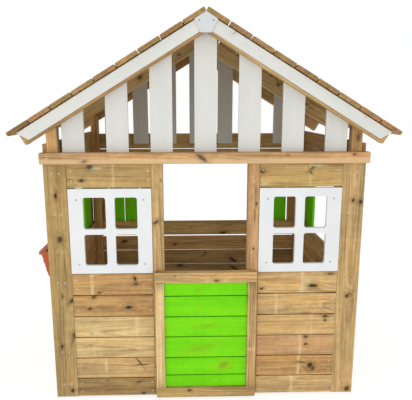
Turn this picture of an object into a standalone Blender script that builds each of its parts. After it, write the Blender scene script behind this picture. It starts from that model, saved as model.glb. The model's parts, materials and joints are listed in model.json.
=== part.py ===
"""A wooden garden playhouse: an open timber cabin under a slatted pitched roof.

Right-handed frame in metres: +Z up, +X to the right as seen from the front, the front faces -Y.
The origin is on the ground under the middle of the roof.

The walls are 16 mm boards on 45 mm posts. Boards that are screwed to a common batten make one
node with it, and so do the roof slats of one slope with their middle rafter. Everything else is
a piece of its own, with a gap of 0.3 mm where it lies against its neighbour.
"""

import math

import bmesh
import bpy
from mathutils import Matrix, Vector

# Clearance between pieces that touch, and how far a fused board bites into its batten.
GAP = 0.0003

# Stock sizes.
POST = 0.045
BOARD_T = 0.016
BOARD_W = 0.090

# The cabin, over its cladding.
WALL_X = 0.660
WALL_Y = 0.580
FRONT = -WALL_Y
BACK = WALL_Y
POST_X = WALL_X - BOARD_T
POST_TOP = 1.210

# The foot of every board wall. The lowest board of each is cut to width there.
WALL_FOOT = 0.0025

# The front wall.
FRONT_W = 0.093
FRONT_PITCH = 0.0966
FRONT_TOP = 0.568
FRONT_BOARDS = 6
HEADER_FOOT = 0.9365
CORNER_BOARD_IN = 0.566
DOOR_POST_IN = 0.175
DOOR_POST_OUT = 0.223
BAY_IN = 0.2235
BAY_OUT = 0.5655
BATTEN_DEPTH = 0.022
RAIL_X = 0.666
RAIL_BOTTOM = 1.035
RAIL_H = 0.045
RAIL_CHAMFER = 0.004
RAIL_FRONT = FRONT - 0.029

# The window plates in the front wall, as shares of the plate's width and height.
PLATE_BOTTOM = 0.571
PLATE_TOP = 0.9325
PLATE_PROUD = 0.003
PANE_SIDE = 0.175
PANE_WIDTH = 0.270
PANE_BASE = 0.100
PANE_HEIGHT = 0.367
PANE_SILL_BAR = 0.065
PANE_RADIUS = 0.010
ARC_STEPS = 4

# The side and back walls: lower boards, a board under the sill, and two header boards.
SIDE_PITCH = 0.0935
SIDE_BOARDS = 5
SIDE_TOP = 0.458
SILL = 0.556
SIDE_HEADER = 0.930
BACK_HEADER = 0.9165
HEADER_PITCH = 0.0935
UPRIGHT = 0.025
SIDE_UPRIGHTS = (FRONT + 0.0615, FRONT + 0.2225)
BACK_UPRIGHT = 0.314
LAP = 0.0305

# The upright infill boards outside the side and back walls.
INFILL_SLIT = 0.0035
PANEL_BOARDS = 2
TRIM_SLIT = 0.008
SIDE_TRIM_W = 0.0825
BACK_TRIM_W = 0.0975
PANEL_FRONT_START = FRONT + 0.064

# The roof: slats from the ridge to the eaves on rafters at the front, middle and back.
SLOPE = math.radians(31.05)
RIDGE_Z = 1.612
SLAT_W = 0.0965
SLAT_PITCH = 0.1005
SLATS = 9
ROOF_Y = 0.635
RAFTER_DEPTH = 0.060
RAFTER_LENGTH = 0.868
MID_RAFTER_END = 0.700
MID_RAFTER_SEAT = 1.150

# White trim: gable slats, barge boards and the plates over the ridge.
GABLE_PITCH = 0.1785
GABLE_FOOT = 1.037
BACK_GABLE_PITCH = 0.1695
BACK_GABLE_SHIFT = -0.008
BACK_GABLE_FOOT = 1.040
BARGE_WIDTH = 0.047
BARGE_DROP = 0.0048
BARGE_TIP_X = 0.743
BARGE_HEEL_X = 0.695
PLATE_T = 0.005
APEX_SHOULDER = 0.0465
APEX_SHOULDER_DROP = 0.030
APEX_FOOT = 0.021
APEX_DROP = 0.079

# The half-door in front of the door posts.
DOOR_X = 0.2145
DOOR_BACK = FRONT - 0.005
DOOR_FRONT = FRONT - 0.045
DOOR_BOTTOM = 0.012
DOOR_TOP = 0.583
STILE = 0.038
INFILL_FRONT = FRONT - 0.030
INFILL_BACK = FRONT - 0.014
BRACE_X = 0.120
BRACE_W = 0.045
BOARD_JOINTS = (0.112, 0.195, 0.291, 0.383, 0.476)
JOINT_GAP = 0.004

# The two butt hinges at the door's left edge.
HINGE_X = -0.2203
HINGE_Y = FRONT - 0.0058
KNUCKLE_R = 0.0052
PIN_R = 0.0025
HINGE_LENGTH = 0.060
HINGE_HEIGHTS = {"lower": 0.110, "upper": 0.475}
LEAF_T = 0.0019
LEAF_W = 0.032
ROUND_STEPS = 20

# The planter on the left wall and its two hooks.
PLANTER_Y = (FRONT + 0.275, FRONT + 0.855)
PLANTER_TOP = 0.593
PLANTER_BOTTOM = 0.466
PLANTER_WALL_X = -WALL_X - 0.0165
PLANTER_RIM_X = -0.778
PLANTER_FOOT_X = -0.744
PLANTER_LIP = 0.012
PLANTER_LIP_H = 0.014
PLANTER_SHELL = 0.005
PLANTER_DRAFT = 0.020
HOOK_Y = (FRONT + 0.455, FRONT + 0.675)
HOOK_W = 0.025
HOOK_T = 0.002
HOOK_TURN_DOWN = 0.035
HOOK_TIP_IN = 0.0085
HOOK_TIP_RISE = 0.014

SIDES = {"left": -1, "right": 1}

WOOD = ("wood", (0.62, 0.47, 0.27), 0.75, 0.0)
WHITE_WOOD = ("white_paint", (0.66, 0.66, 0.62), 0.60, 0.0)
WHITE_PLASTIC = ("white_plastic", (0.82, 0.83, 0.85), 0.35, 0.0)
GREEN = ("green_paint", (0.13, 0.66, 0.01), 0.55, 0.0)
TERRACOTTA = ("terracotta_plastic", (0.58, 0.16, 0.06), 0.50, 0.0)
STEEL = ("zinc_steel", (0.62, 0.62, 0.60), 0.35, 1.0)


def clear_scene():
    """Remove whatever the file opened with."""
    for obj in list(bpy.data.objects):
        bpy.data.objects.remove(obj, do_unlink=True)


def add_material(obj, finish):
    """Give the object its own material: a name, a colour, a roughness and a metallic value."""
    name, colour, roughness, metallic = finish
    material = bpy.data.materials.new(f"{obj.name}_{name}")
    material.use_nodes = True
    shader = material.node_tree.nodes["Principled BSDF"]
    shader.inputs["Base Color"].default_value = (*colour, 1.0)
    shader.inputs["Roughness"].default_value = roughness
    shader.inputs["Metallic"].default_value = metallic
    material.diffuse_color = (*colour, 1.0)
    obj.data.materials.append(material)


def add_object(name, bm, finish=None, origin=(0.0, 0.0, 0.0)):
    """Turn a bmesh drawn in world coordinates into an object whose origin is at the given point."""
    bmesh.ops.recalc_face_normals(bm, faces=bm.faces)
    bmesh.ops.translate(bm, verts=bm.verts, vec=-Vector(origin))
    mesh = bpy.data.meshes.new(name)
    bm.to_mesh(mesh)
    bm.free()
    obj = bpy.data.objects.new(name, mesh)
    obj.location = origin
    bpy.context.scene.collection.objects.link(obj)
    if finish is not None:
        add_material(obj, finish)
    return obj


def shade_round(obj):
    """Shade the curved faces smooth and keep the edges between flat faces crisp."""
    obj.data.shade_smooth()
    obj.data.set_sharp_from_angle(angle=math.radians(30))
    return obj


def add_box(bm, low, high):
    """Add a box between two opposite corners, given in any order."""
    size = [abs(b - a) for a, b in zip(low, high)]
    middle = [(a + b) / 2 for a, b in zip(low, high)]
    matrix = Matrix.Translation(middle) @ Matrix.Diagonal((*size, 1.0))
    bmesh.ops.create_cube(bm, size=1.0, matrix=matrix)


def add_prism(bm, outline, axis, start, end):
    """Extrude an outline of (u, z) points along X or Y, where u is the other level axis."""
    def place(u, z, along):
        return (along, u, z) if axis == "X" else (u, along, z)

    ring = [bm.verts.new(place(u, z, start)) for u, z in outline]
    face = bm.faces.new(ring)
    swept = bmesh.ops.extrude_face_region(bm, geom=[face])["geom"]
    top = [item for item in swept if isinstance(item, bmesh.types.BMVert)]
    shift = place(0.0, 0.0, end - start)
    bmesh.ops.translate(bm, verts=top, vec=shift)


def box_object(name, low, high, finish):
    """One board, post or plate with square edges."""
    bm = bmesh.new()
    add_box(bm, low, high)
    return add_object(name, bm, finish)


def prism_object(name, outline, axis, start, end, finish):
    """One piece with a constant outline along X or Y."""
    bm = bmesh.new()
    add_prism(bm, outline, axis, start, end)
    return add_object(name, bm, finish)


def combine(obj, other_bm, operation):
    """Join to the object, or cut from it, the solids of a second bmesh, through a hidden helper."""
    helper = shade_round(add_object(f"{obj.name}_{operation.lower()}", other_bm))
    helper.hide_render = True
    helper.display_type = "WIRE"
    modifier = obj.modifiers.new(operation.title(), "BOOLEAN")
    modifier.operation = operation
    modifier.object = helper
    return shade_round(obj)


def boards_on_battens(name, boards, battens, finish):
    """Boards that share battens, as one piece. Each is a pair of opposite corners."""
    first = bmesh.new()
    for low, high in battens:
        add_box(first, low, high)
    second = bmesh.new()
    for low, high in boards:
        add_box(second, low, high)
    return combine(add_object(name, first, finish), second, "UNION")


def stacked(count, first, pitch, height=BOARD_W):
    """The (bottom, top) heights of boards laid one above the other."""
    return [(first + i * pitch, first + i * pitch + height) for i in range(count)]


def courses(count, top, pitch, height):
    """The heights of boards that hang down from a top edge, the lowest one cut at the foot."""
    rows = stacked(count, top - height - (count - 1) * pitch, pitch, height)
    return [(max(low, WALL_FOOT), high) for low, high in rows]


def mirrored(side, low, high):
    """A box drawn for the right-hand side, moved to the side asked for."""
    return (side * low[0], *low[1:]), (side * high[0], *high[1:])


def roof_point(along, below):
    """A point (x, z) of the right-hand slope: so far down from the ridge, so far under the slats."""
    x = along * math.cos(SLOPE) - below * math.sin(SLOPE)
    z = RIDGE_Z - along * math.sin(SLOPE) - below * math.cos(SLOPE)
    return x, z


def under_roof(x, below=0.0):
    """The height of a line parallel to the slats' underside, where it passes x."""
    return RIDGE_Z - abs(x) * math.tan(SLOPE) - below / math.cos(SLOPE)


def on_side(side, outline):
    """An outline drawn for the right-hand side, moved to the side asked for."""
    return [(side * x, z) for x, z in outline]


def build_posts():
    """Four corner posts that carry the walls and the roof, and the two posts of the doorway."""
    ends = {"front": FRONT + BOARD_T, "back": BACK - BOARD_T - POST}
    for end, y in ends.items():
        for side_name, side in SIDES.items():
            foot = (POST_X - POST, y, 0.0)
            top = (POST_X - GAP, y + POST - GAP, POST_TOP)
            low, high = mirrored(side, foot, top)
            box_object(f"corner_post_{end}_{side_name}", low, high, WOOD)
    for side_name, side in SIDES.items():
        foot = (DOOR_POST_IN, FRONT, 0.0)
        top = (DOOR_POST_OUT, FRONT + POST, RAIL_BOTTOM - GAP)
        low, high = mirrored(side, foot, top)
        box_object(f"door_post_{side_name}", low, high, WOOD)


def build_front_wall():
    """The front: corner boards, clad bays with their headers, and the rail over all of them."""
    board_back = FRONT + BOARD_T
    lower = courses(FRONT_BOARDS, FRONT_TOP, FRONT_PITCH, FRONT_W)
    header_top = RAIL_BOTTOM - 2 * GAP
    rows = [*lower, (HEADER_FOOT, header_top)]
    batten_back = board_back + BATTEN_DEPTH
    batten_out = POST_X - POST - GAP
    for side_name, side in SIDES.items():
        foot = (CORNER_BOARD_IN, FRONT, 0.0)
        top = (WALL_X, board_back - GAP, RAIL_BOTTOM - GAP)
        low, high = mirrored(side, foot, top)
        box_object(f"front_corner_board_{side_name}", low, high, WOOD)
        boards = [
            mirrored(side, (BAY_IN, FRONT, low_z), (BAY_OUT, board_back + GAP, high_z))
            for low_z, high_z in rows
        ]
        battens = [
            mirrored(side, (start, board_back, 0.0), (end, batten_back, header_top))
            for start, end in ((BAY_IN, BAY_IN + POST), (BAY_OUT - UPRIGHT, batten_out))
        ]
        boards_on_battens(f"front_wall_{side_name}", boards, battens, WOOD)
    low = (-RAIL_X, RAIL_FRONT, RAIL_BOTTOM)
    high = (RAIL_X, board_back - GAP, RAIL_BOTTOM + RAIL_H)
    rail = box_object("front_top_rail", low, high, WOOD)
    soften(rail, RAIL_CHAMFER)


def soften(obj, width):
    """Take the edges off with a narrow chamfer."""
    bevel = obj.modifiers.new("Bevel", "BEVEL")
    bevel.width = width
    bevel.segments = 1
    bevel.limit_method = "ANGLE"


def rounded_outline(left, right, bottom, top, radius):
    """A rectangle with round corners, anticlockwise."""
    centres = (
        (right - radius, bottom + radius, -math.pi / 2),
        (right - radius, top - radius, 0.0),
        (left + radius, top - radius, math.pi / 2),
        (left + radius, bottom + radius, math.pi),
    )
    points = []
    for x, z, start in centres:
        for step in range(ARC_STEPS + 1):
            angle = start + step * math.pi / 2 / ARC_STEPS
            points.append((x + radius * math.cos(angle), z + radius * math.sin(angle)))
    return points


def build_windows():
    """A white plastic plate with four round-cornered panes in each front bay."""
    width = BAY_OUT - BAY_IN
    height = PLATE_TOP - PLATE_BOTTOM
    plate_back = FRONT + BOARD_T - GAP
    for side_name, side in SIDES.items():
        low, high = mirrored(
            side, (BAY_IN, FRONT - PLATE_PROUD, PLATE_BOTTOM), (BAY_OUT, plate_back, PLATE_TOP)
        )
        plate = box_object(f"front_window_{side_name}", low, high, WHITE_PLASTIC)
        panes = bmesh.new()
        for column in (PANE_SIDE, 1.0 - PANE_SIDE - PANE_WIDTH):
            for row in (PANE_BASE, PANE_BASE + PANE_HEIGHT + PANE_SILL_BAR):
                left = BAY_IN + column * width
                bottom = PLATE_BOTTOM + row * height
                outline = rounded_outline(
                    left, left + PANE_WIDTH * width, bottom, bottom + PANE_HEIGHT * height, PANE_RADIUS
                )
                add_prism(panes, on_side(side, outline), "Y", FRONT - BOARD_T, FRONT + 2 * BOARD_T)
        combine(plate, panes, "DIFFERENCE")


def wall_rows(header, headers):
    """The (bottom, top) heights of a side or back wall's boards, with so many header boards."""
    lower = courses(SIDE_BOARDS, SIDE_TOP, SIDE_PITCH, BOARD_W)
    return [*lower, (SILL - BOARD_W, SILL), *stacked(headers, header, HEADER_PITCH)]


def build_side_walls():
    """Boards up to the sill, two header boards, and the uprights inside that hold them together."""
    rows = wall_rows(SIDE_HEADER, 2)
    top = rows[-1][1]
    for side_name, side in SIDES.items():
        boards = [
            mirrored(side, (POST_X, FRONT + BOARD_T, low), (WALL_X, BACK - BOARD_T, high))
            for low, high in rows
        ]
        battens = [
            mirrored(side, (POST_X - BOARD_T, y, WALL_FOOT), (POST_X + GAP, y + UPRIGHT, top))
            for y in SIDE_UPRIGHTS
        ]
        boards_on_battens(f"side_wall_{side_name}", boards, battens, WOOD)


def build_back_wall():
    """Boards up to the sill and the lower header board, held by two uprights beside the opening."""
    inner = BACK - BOARD_T + GAP
    rows = wall_rows(BACK_HEADER, 1)
    boards = [((-WALL_X, inner, low), (WALL_X, BACK, high)) for low, high in rows]
    battens = [
        mirrored(
            side,
            (BACK_UPRIGHT, inner - BOARD_T, WALL_FOOT),
            (BACK_UPRIGHT + UPRIGHT, inner + GAP, rows[-1][1] - BOARD_T),
        )
        for side in SIDES.values()
    ]
    boards_on_battens("back_wall", boards, battens, WOOD)


def gable_outline(centre, foot):
    """A gable slat's face: square at its foot, and cut to the roof slope or the ridge at its top."""
    half = BOARD_W / 2
    xs = [centre + half, centre - half]
    if abs(centre) < half:
        xs.insert(1, 0.0)
    tops = [(x, under_roof(x, 2 * GAP)) for x in xs]
    return [(centre - half, foot), (centre + half, foot), *tops]


def gable_centres(pitch, shift=0.0):
    """Where the seven slats of a gable stand."""
    return [(i - 3) * pitch + shift for i in range(7)]


def build_gables():
    """White slats: in front, each on its own; behind, screwed to the upper header board."""
    for number, centre in enumerate(gable_centres(GABLE_PITCH), start=1):
        outline = gable_outline(centre, GABLE_FOOT)
        start = FRONT + BOARD_T + GAP
        prism_object(f"front_gable_slat_{number}", outline, "Y", start, start + BOARD_T, WHITE_WOOD)
    board = wall_rows(BACK_HEADER, 2)[-1]
    inner = BACK - BOARD_T + GAP
    header = box_object("back_gable", (-WALL_X, inner, board[0]), (WALL_X, BACK, board[1]), WHITE_WOOD)
    slats = bmesh.new()
    for centre in gable_centres(BACK_GABLE_PITCH, BACK_GABLE_SHIFT):
        add_prism(slats, gable_outline(centre, BACK_GABLE_FOOT), "Y", inner - BOARD_T, inner + GAP)
    combine(header, slats, "UNION")


def slotted_panel(name, boards, low_z, high_z, axis, outer):
    """Upright green boards as one panel: the slits between them stop short of both ends.

    boards holds each board's (start, end) along the wall, and outer is the panel's (inner, outer)
    faces across it. The wall's sill and header hide the uncut ends.
    """
    def corner(along, over, z):
        return (over, along, z) if axis == "Y" else (along, over, z)

    start, end = boards[0][0], boards[-1][1]
    panel = box_object(name, corner(start, outer[0], low_z), corner(end, outer[1], high_z), GREEN)
    slits = bmesh.new()
    for (_, left), (right, _) in zip(boards, boards[1:]):
        add_box(
            slits,
            corner(left, outer[0] - BOARD_T, low_z + LAP - BOARD_T / 2),
            corner(right, outer[1] + BOARD_T, high_z - LAP + BOARD_T / 2),
        )
    return combine(panel, slits, "DIFFERENCE")


def upright_boards(count, start, direction=1):
    """The (low, high) places of upright boards laid side by side from a start, in rising order."""
    step = BOARD_W + INFILL_SLIT
    pairs = []
    for i in range(count):
        edges = (start + direction * i * step, start + direction * (i * step + BOARD_W))
        pairs.append((min(edges), max(edges)))
    return sorted(pairs)


def build_infill():
    """Green panels and plain trim boards outside the side and back walls, beside the openings."""
    foot = SILL - LAP
    side_head = SIDE_HEADER + LAP
    back_head = BACK_HEADER + LAP
    side_trim_start = BACK - SIDE_TRIM_W
    back_trim_in = WALL_X - BACK_TRIM_W
    for side_name, side in SIDES.items():
        faces = sorted((side * (WALL_X + GAP), side * (WALL_X + BOARD_T)))
        front_boards = upright_boards(PANEL_BOARDS, PANEL_FRONT_START)
        slotted_panel(f"side_panel_front_{side_name}", front_boards, foot, side_head, "Y", faces)
        back_boards = upright_boards(PANEL_BOARDS, side_trim_start - INFILL_SLIT, -1)
        slotted_panel(f"side_panel_back_{side_name}", back_boards, foot, side_head, "Y", faces)
        low = (faces[0], side_trim_start, foot)
        high = (faces[1], BACK, side_head)
        box_object(f"side_trim_{side_name}", low, high, WOOD)
        low = (back_trim_in, BACK + GAP, foot)
        high = (WALL_X, BACK + BOARD_T, back_head)
        box_object(f"back_trim_{side_name}", *mirrored(side, low, high), WOOD)
        boards = upright_boards(PANEL_BOARDS, side * (back_trim_in - TRIM_SLIT), -side)
        depth = (BACK + GAP, BACK + BOARD_T)
        slotted_panel(f"back_panel_{side_name}", boards, foot, back_head, "X", depth)


def rafter_outline(length):
    """A rafter seen from the front: plumb at the ridge, square at the eaves."""
    top_end = roof_point(length, GAP)
    low_end = roof_point(length, RAFTER_DEPTH)
    ridge_low = (GAP, under_roof(GAP, RAFTER_DEPTH))
    ridge_top = (GAP, under_roof(GAP, GAP))
    return [ridge_low, low_end, top_end, ridge_top]


def mid_rafter_outline():
    """The middle rafter, let into the slats by a bite and cut level at its outer end."""
    seat_x = (under_roof(0.0, RAFTER_DEPTH) - MID_RAFTER_SEAT) / math.tan(SLOPE)
    return [
        (GAP, under_roof(GAP, RAFTER_DEPTH)),
        (seat_x, MID_RAFTER_SEAT),
        (MID_RAFTER_END, MID_RAFTER_SEAT),
        (MID_RAFTER_END, under_roof(MID_RAFTER_END, -GAP)),
        (GAP, under_roof(GAP, -GAP)),
    ]


def build_rafters():
    """Rafter pairs in the front and back gables."""
    spans = {
        "front": (RAIL_FRONT, FRONT + BOARD_T - GAP),
        "back": (BACK - BOARD_T + 3 * GAP, BACK - BOARD_T + POST),
    }
    for end, (start, stop) in spans.items():
        for side_name, side in SIDES.items():
            outline = on_side(side, rafter_outline(RAFTER_LENGTH))
            prism_object(f"{end}_rafter_{side_name}", outline, "Y", start, stop, WOOD)


def build_roof_decks():
    """Nine slats a side on their middle rafter. The top ones meet at the ridge along an edge."""
    for side_name, side in SIDES.items():
        rafter = bmesh.new()
        add_prism(rafter, on_side(side, mid_rafter_outline()), "Y", -POST / 2, POST / 2)
        slats = bmesh.new()
        for i in range(SLATS):
            start = GAP + i * SLAT_PITCH
            end = start + SLAT_W
            outline = [
                roof_point(start, 0.0),
                roof_point(end, 0.0),
                roof_point(end, -BOARD_T),
                roof_point(start, -BOARD_T),
            ]
            add_prism(slats, on_side(side, outline), "Y", -ROOF_Y, ROOF_Y)
        deck = add_object(f"roof_deck_{side_name}", rafter, WOOD)
        combine(deck, slats, "UNION")


def build_gable_trim():
    """Barge boards on the rafters' faces, and a plate over each ridge joint."""
    front_face = RAIL_FRONT - GAP
    back_face = BACK - BOARD_T + POST + GAP
    for end, face, out in (("front", front_face, -1), ("back", back_face, 1)):
        for side_name, side in SIDES.items():
            outline = [
                (GAP, under_roof(GAP, BARGE_DROP + BARGE_WIDTH)),
                (BARGE_HEEL_X, under_roof(BARGE_HEEL_X, BARGE_DROP + BARGE_WIDTH)),
                (BARGE_TIP_X, under_roof(BARGE_TIP_X, BARGE_DROP)),
                (GAP, under_roof(GAP, BARGE_DROP)),
            ]
            name = f"barge_board_{end}_{side_name}"
            prism_object(name, on_side(side, outline), "Y", face, face + out * BOARD_T, WHITE_WOOD)
        plate_face = face + out * (BOARD_T + GAP)
        outline = [
            (-APEX_FOOT, RIDGE_Z - APEX_DROP),
            (APEX_FOOT, RIDGE_Z - APEX_DROP),
            (APEX_SHOULDER, RIDGE_Z - APEX_SHOULDER_DROP),
            (0.0, RIDGE_Z - 2 * GAP),
            (-APEX_SHOULDER, RIDGE_Z - APEX_SHOULDER_DROP),
        ]
        name = f"apex_plate_{end}"
        prism_object(name, outline, "Y", plate_face, plate_face + out * PLATE_T, WHITE_PLASTIC)


def build_door(pivot):
    """The half-door: two rails, two stiles, and board infill on two braces. It hangs on the pivot."""
    pieces = []
    for side_name, side in SIDES.items():
        low, high = mirrored(
            side,
            (DOOR_X - STILE, DOOR_FRONT, DOOR_BOTTOM + POST + GAP),
            (DOOR_X, DOOR_BACK, DOOR_TOP - POST - GAP),
        )
        pieces.append(box_object(f"door_stile_{side_name}", low, high, WOOD))
    rails = {"bottom": DOOR_BOTTOM, "top": DOOR_TOP - POST}
    for end, z in rails.items():
        low = (-DOOR_X, DOOR_FRONT, z)
        high = (DOOR_X, DOOR_BACK, z + POST)
        pieces.append(box_object(f"door_rail_{end}", low, high, WOOD))
    foot = DOOR_BOTTOM + POST + GAP
    head = DOOR_TOP - POST - GAP
    edge = DOOR_X - STILE - GAP
    starts = [foot, *(z + JOINT_GAP / 2 for z in BOARD_JOINTS)]
    ends = [*(z - JOINT_GAP / 2 for z in BOARD_JOINTS), head]
    boards = [((-edge, INFILL_FRONT, low), (edge, INFILL_BACK, high)) for low, high in zip(starts, ends)]
    braces = [
        ((x - BRACE_W / 2, INFILL_BACK - GAP, foot), (x + BRACE_W / 2, DOOR_BACK, head))
        for x in (-BRACE_X, BRACE_X)
    ]
    pieces.append(boards_on_battens("door_infill", boards, braces, GREEN))
    for piece in pieces:
        hang_on(piece, pivot)


def hang_on(piece, pivot):
    """Parent a piece to the empty it moves with, leaving the piece where it is."""
    piece.parent = pivot
    piece.matrix_parent_inverse = Matrix.Translation(pivot.location).inverted()


def add_tube(bm, low, high, radius, bore):
    """An upright tube on the hinge axis, or a rod if the bore is 0."""
    rings = []
    radii = [radius, bore] if bore else [radius]
    for z in (low, high):
        for r in radii:
            ring = []
            for step in range(ROUND_STEPS):
                angle = 2 * math.pi * step / ROUND_STEPS
                point = (HINGE_X + r * math.cos(angle), HINGE_Y + r * math.sin(angle), z)
                ring.append(bm.verts.new(point))
            rings.append(ring)
    loops = [rings[0], rings[2], rings[3], rings[1]] if bore else rings
    pairs = list(zip(loops, loops[1:]))
    if bore:
        pairs.append((loops[-1], loops[0]))
    else:
        bm.faces.new(rings[0])
        bm.faces.new(rings[1])
    for first, second in pairs:
        for i in range(ROUND_STEPS):
            j = (i + 1) % ROUND_STEPS
            bm.faces.new((first[i], first[j], second[j], second[i]))


def leaf_outline(foot, head, tabs, reach):
    """A hinge leaf seen from the front: a plate with tabs that run in to its knuckles."""
    edge = HINGE_X + KNUCKLE_R + GAP
    outline = [(edge + LEAF_W, head), (edge + LEAF_W, foot)]
    for low, high in tabs:
        outline += [(edge, low), (reach, low), (reach, high), (edge, high)]
    if tabs[0][0] > foot:
        outline.insert(2, (edge, foot))
        outline.append((edge, head))
    return outline


def hinge_leaf(name, foot, head, tabs, reach, face):
    """A leaf 1.9 mm thick whose rear is on the face given, joined to one tube for each tab."""
    plate = bmesh.new()
    add_prism(plate, leaf_outline(foot, head, tabs, reach), "Y", face - LEAF_T, face)
    tubes = bmesh.new()
    for low, high in tabs:
        add_tube(tubes, low, high, KNUCKLE_R, PIN_R + GAP)
    return combine(add_object(name, plate, STEEL), tubes, "UNION")


def build_hinges(pivot):
    """Two butt hinges: a leaf on the post with two knuckles, a leaf on the door with one, a pin."""
    knuckle = HINGE_LENGTH / 3
    for name, middle in HINGE_HEIGHTS.items():
        foot = middle - HINGE_LENGTH / 2
        head = middle + HINGE_LENGTH / 2
        outer_tabs = ((foot, foot + knuckle - GAP), (head - knuckle + GAP, head))
        hinge_leaf(f"hinge_{name}_post_leaf", foot, head, outer_tabs, HINGE_X, FRONT - GAP)
        inner_tab = ((foot + knuckle, head - knuckle),)
        inner_reach = HINGE_X + PIN_R + 2 * GAP
        door_face = DOOR_BACK + GAP + LEAF_T
        leaf = hinge_leaf(f"hinge_{name}_door_leaf", foot, head, inner_tab, inner_reach, door_face)
        hang_on(leaf, pivot)
        pin = bmesh.new()
        add_tube(pin, foot - GAP, head + GAP, PIN_R, 0.0)
        shade_round(add_object(f"hinge_{name}_pin", pin, STEEL))


def trough_outline(inset, low, high, rim):
    """The planter's end view: an upright back, a flat foot and a front that leans out to its rim."""
    back = PLANTER_WALL_X - inset
    front_top = PLANTER_RIM_X + PLANTER_LIP + inset
    front_low = PLANTER_FOOT_X + inset
    outline = [(front_low, low), (back, low), (back, high)]
    if rim:
        outline += [
            (PLANTER_RIM_X, high),
            (PLANTER_RIM_X, high - PLANTER_LIP_H),
            (front_top, high - PLANTER_LIP_H),
        ]
    else:
        outline.append((front_top, high))
    return outline


def build_planter(pivot):
    """A terracotta trough hooked over the left sill. It lifts straight up off its hooks."""
    start, end = PLANTER_Y
    planter = bmesh.new()
    add_prism(planter, trough_outline(0.0, PLANTER_BOTTOM, PLANTER_TOP, True), "Y", start, end)
    taper_ends(planter, start, end)
    obj = add_object("planter", planter, TERRACOTTA)
    hollow = bmesh.new()
    low = PLANTER_BOTTOM + PLANTER_SHELL
    high = PLANTER_TOP + PLANTER_SHELL
    inner_start, inner_end = start + PLANTER_SHELL + PLANTER_LIP, end - PLANTER_SHELL - PLANTER_LIP
    add_prism(hollow, trough_outline(PLANTER_SHELL, low, high, False), "Y", inner_start, inner_end)
    taper_ends(hollow, inner_start, inner_end)
    combine(obj, hollow, "DIFFERENCE")
    hang_on(obj, pivot)


def taper_ends(bm, start, end):
    """Lean the two ends of a trough inwards towards its foot."""
    under_lip = PLANTER_TOP - PLANTER_LIP_H
    for vert in bm.verts:
        depth = (under_lip - vert.co.z) / (under_lip - PLANTER_BOTTOM)
        lean = PLANTER_DRAFT * max(0.0, depth)
        if abs(vert.co.y - start) < GAP:
            vert.co.y += lean
        elif abs(vert.co.y - end) < GAP:
            vert.co.y -= lean


def build_planter_hooks():
    """Two bent steel straps over the sill, with an arm under the planter."""
    inner = -POST_X + GAP
    outer = -WALL_X - GAP
    turn_foot = SILL - HOOK_TURN_DOWN
    saddle = SILL + GAP
    arm_top = PLANTER_BOTTOM - GAP
    tip_x = PLANTER_FOOT_X - HOOK_TIP_IN
    for number, y in enumerate(HOOK_Y, start=1):
        outline = [
            (inner, turn_foot),
            (inner + HOOK_T, turn_foot),
            (inner + HOOK_T, saddle + HOOK_T),
            (outer - HOOK_T, saddle + HOOK_T),
            (outer - HOOK_T, arm_top),
            (tip_x, arm_top),
            (tip_x, arm_top + HOOK_TIP_RISE),
            (tip_x - HOOK_T, arm_top + HOOK_TIP_RISE),
            (tip_x - HOOK_T, arm_top - HOOK_T),
            (outer, arm_top - HOOK_T),
            (outer, saddle),
            (inner, saddle),
        ]
        prism_object(f"planter_hook_{number}", outline, "Y", y - HOOK_W / 2, y + HOOK_W / 2, STEEL)


def add_pivot(name, location):
    """An empty on a joint's axis."""
    pivot = bpy.data.objects.new(name, None)
    pivot.location = location
    bpy.context.scene.collection.objects.link(pivot)
    return pivot


def main():
    clear_scene()
    build_posts()
    build_front_wall()
    build_windows()
    build_side_walls()
    build_back_wall()
    build_gables()
    build_infill()
    build_rafters()
    build_roof_decks()
    build_gable_trim()
    door_pivot = add_pivot("door_pivot", (HINGE_X, HINGE_Y, 0.0))
    build_door(door_pivot)
    build_hinges(door_pivot)
    planter_pivot = add_pivot("planter_seat", (PLANTER_WALL_X, sum(PLANTER_Y) / 2, PLANTER_BOTTOM))
    build_planter(planter_pivot)
    build_planter_hooks()


main()
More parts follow.
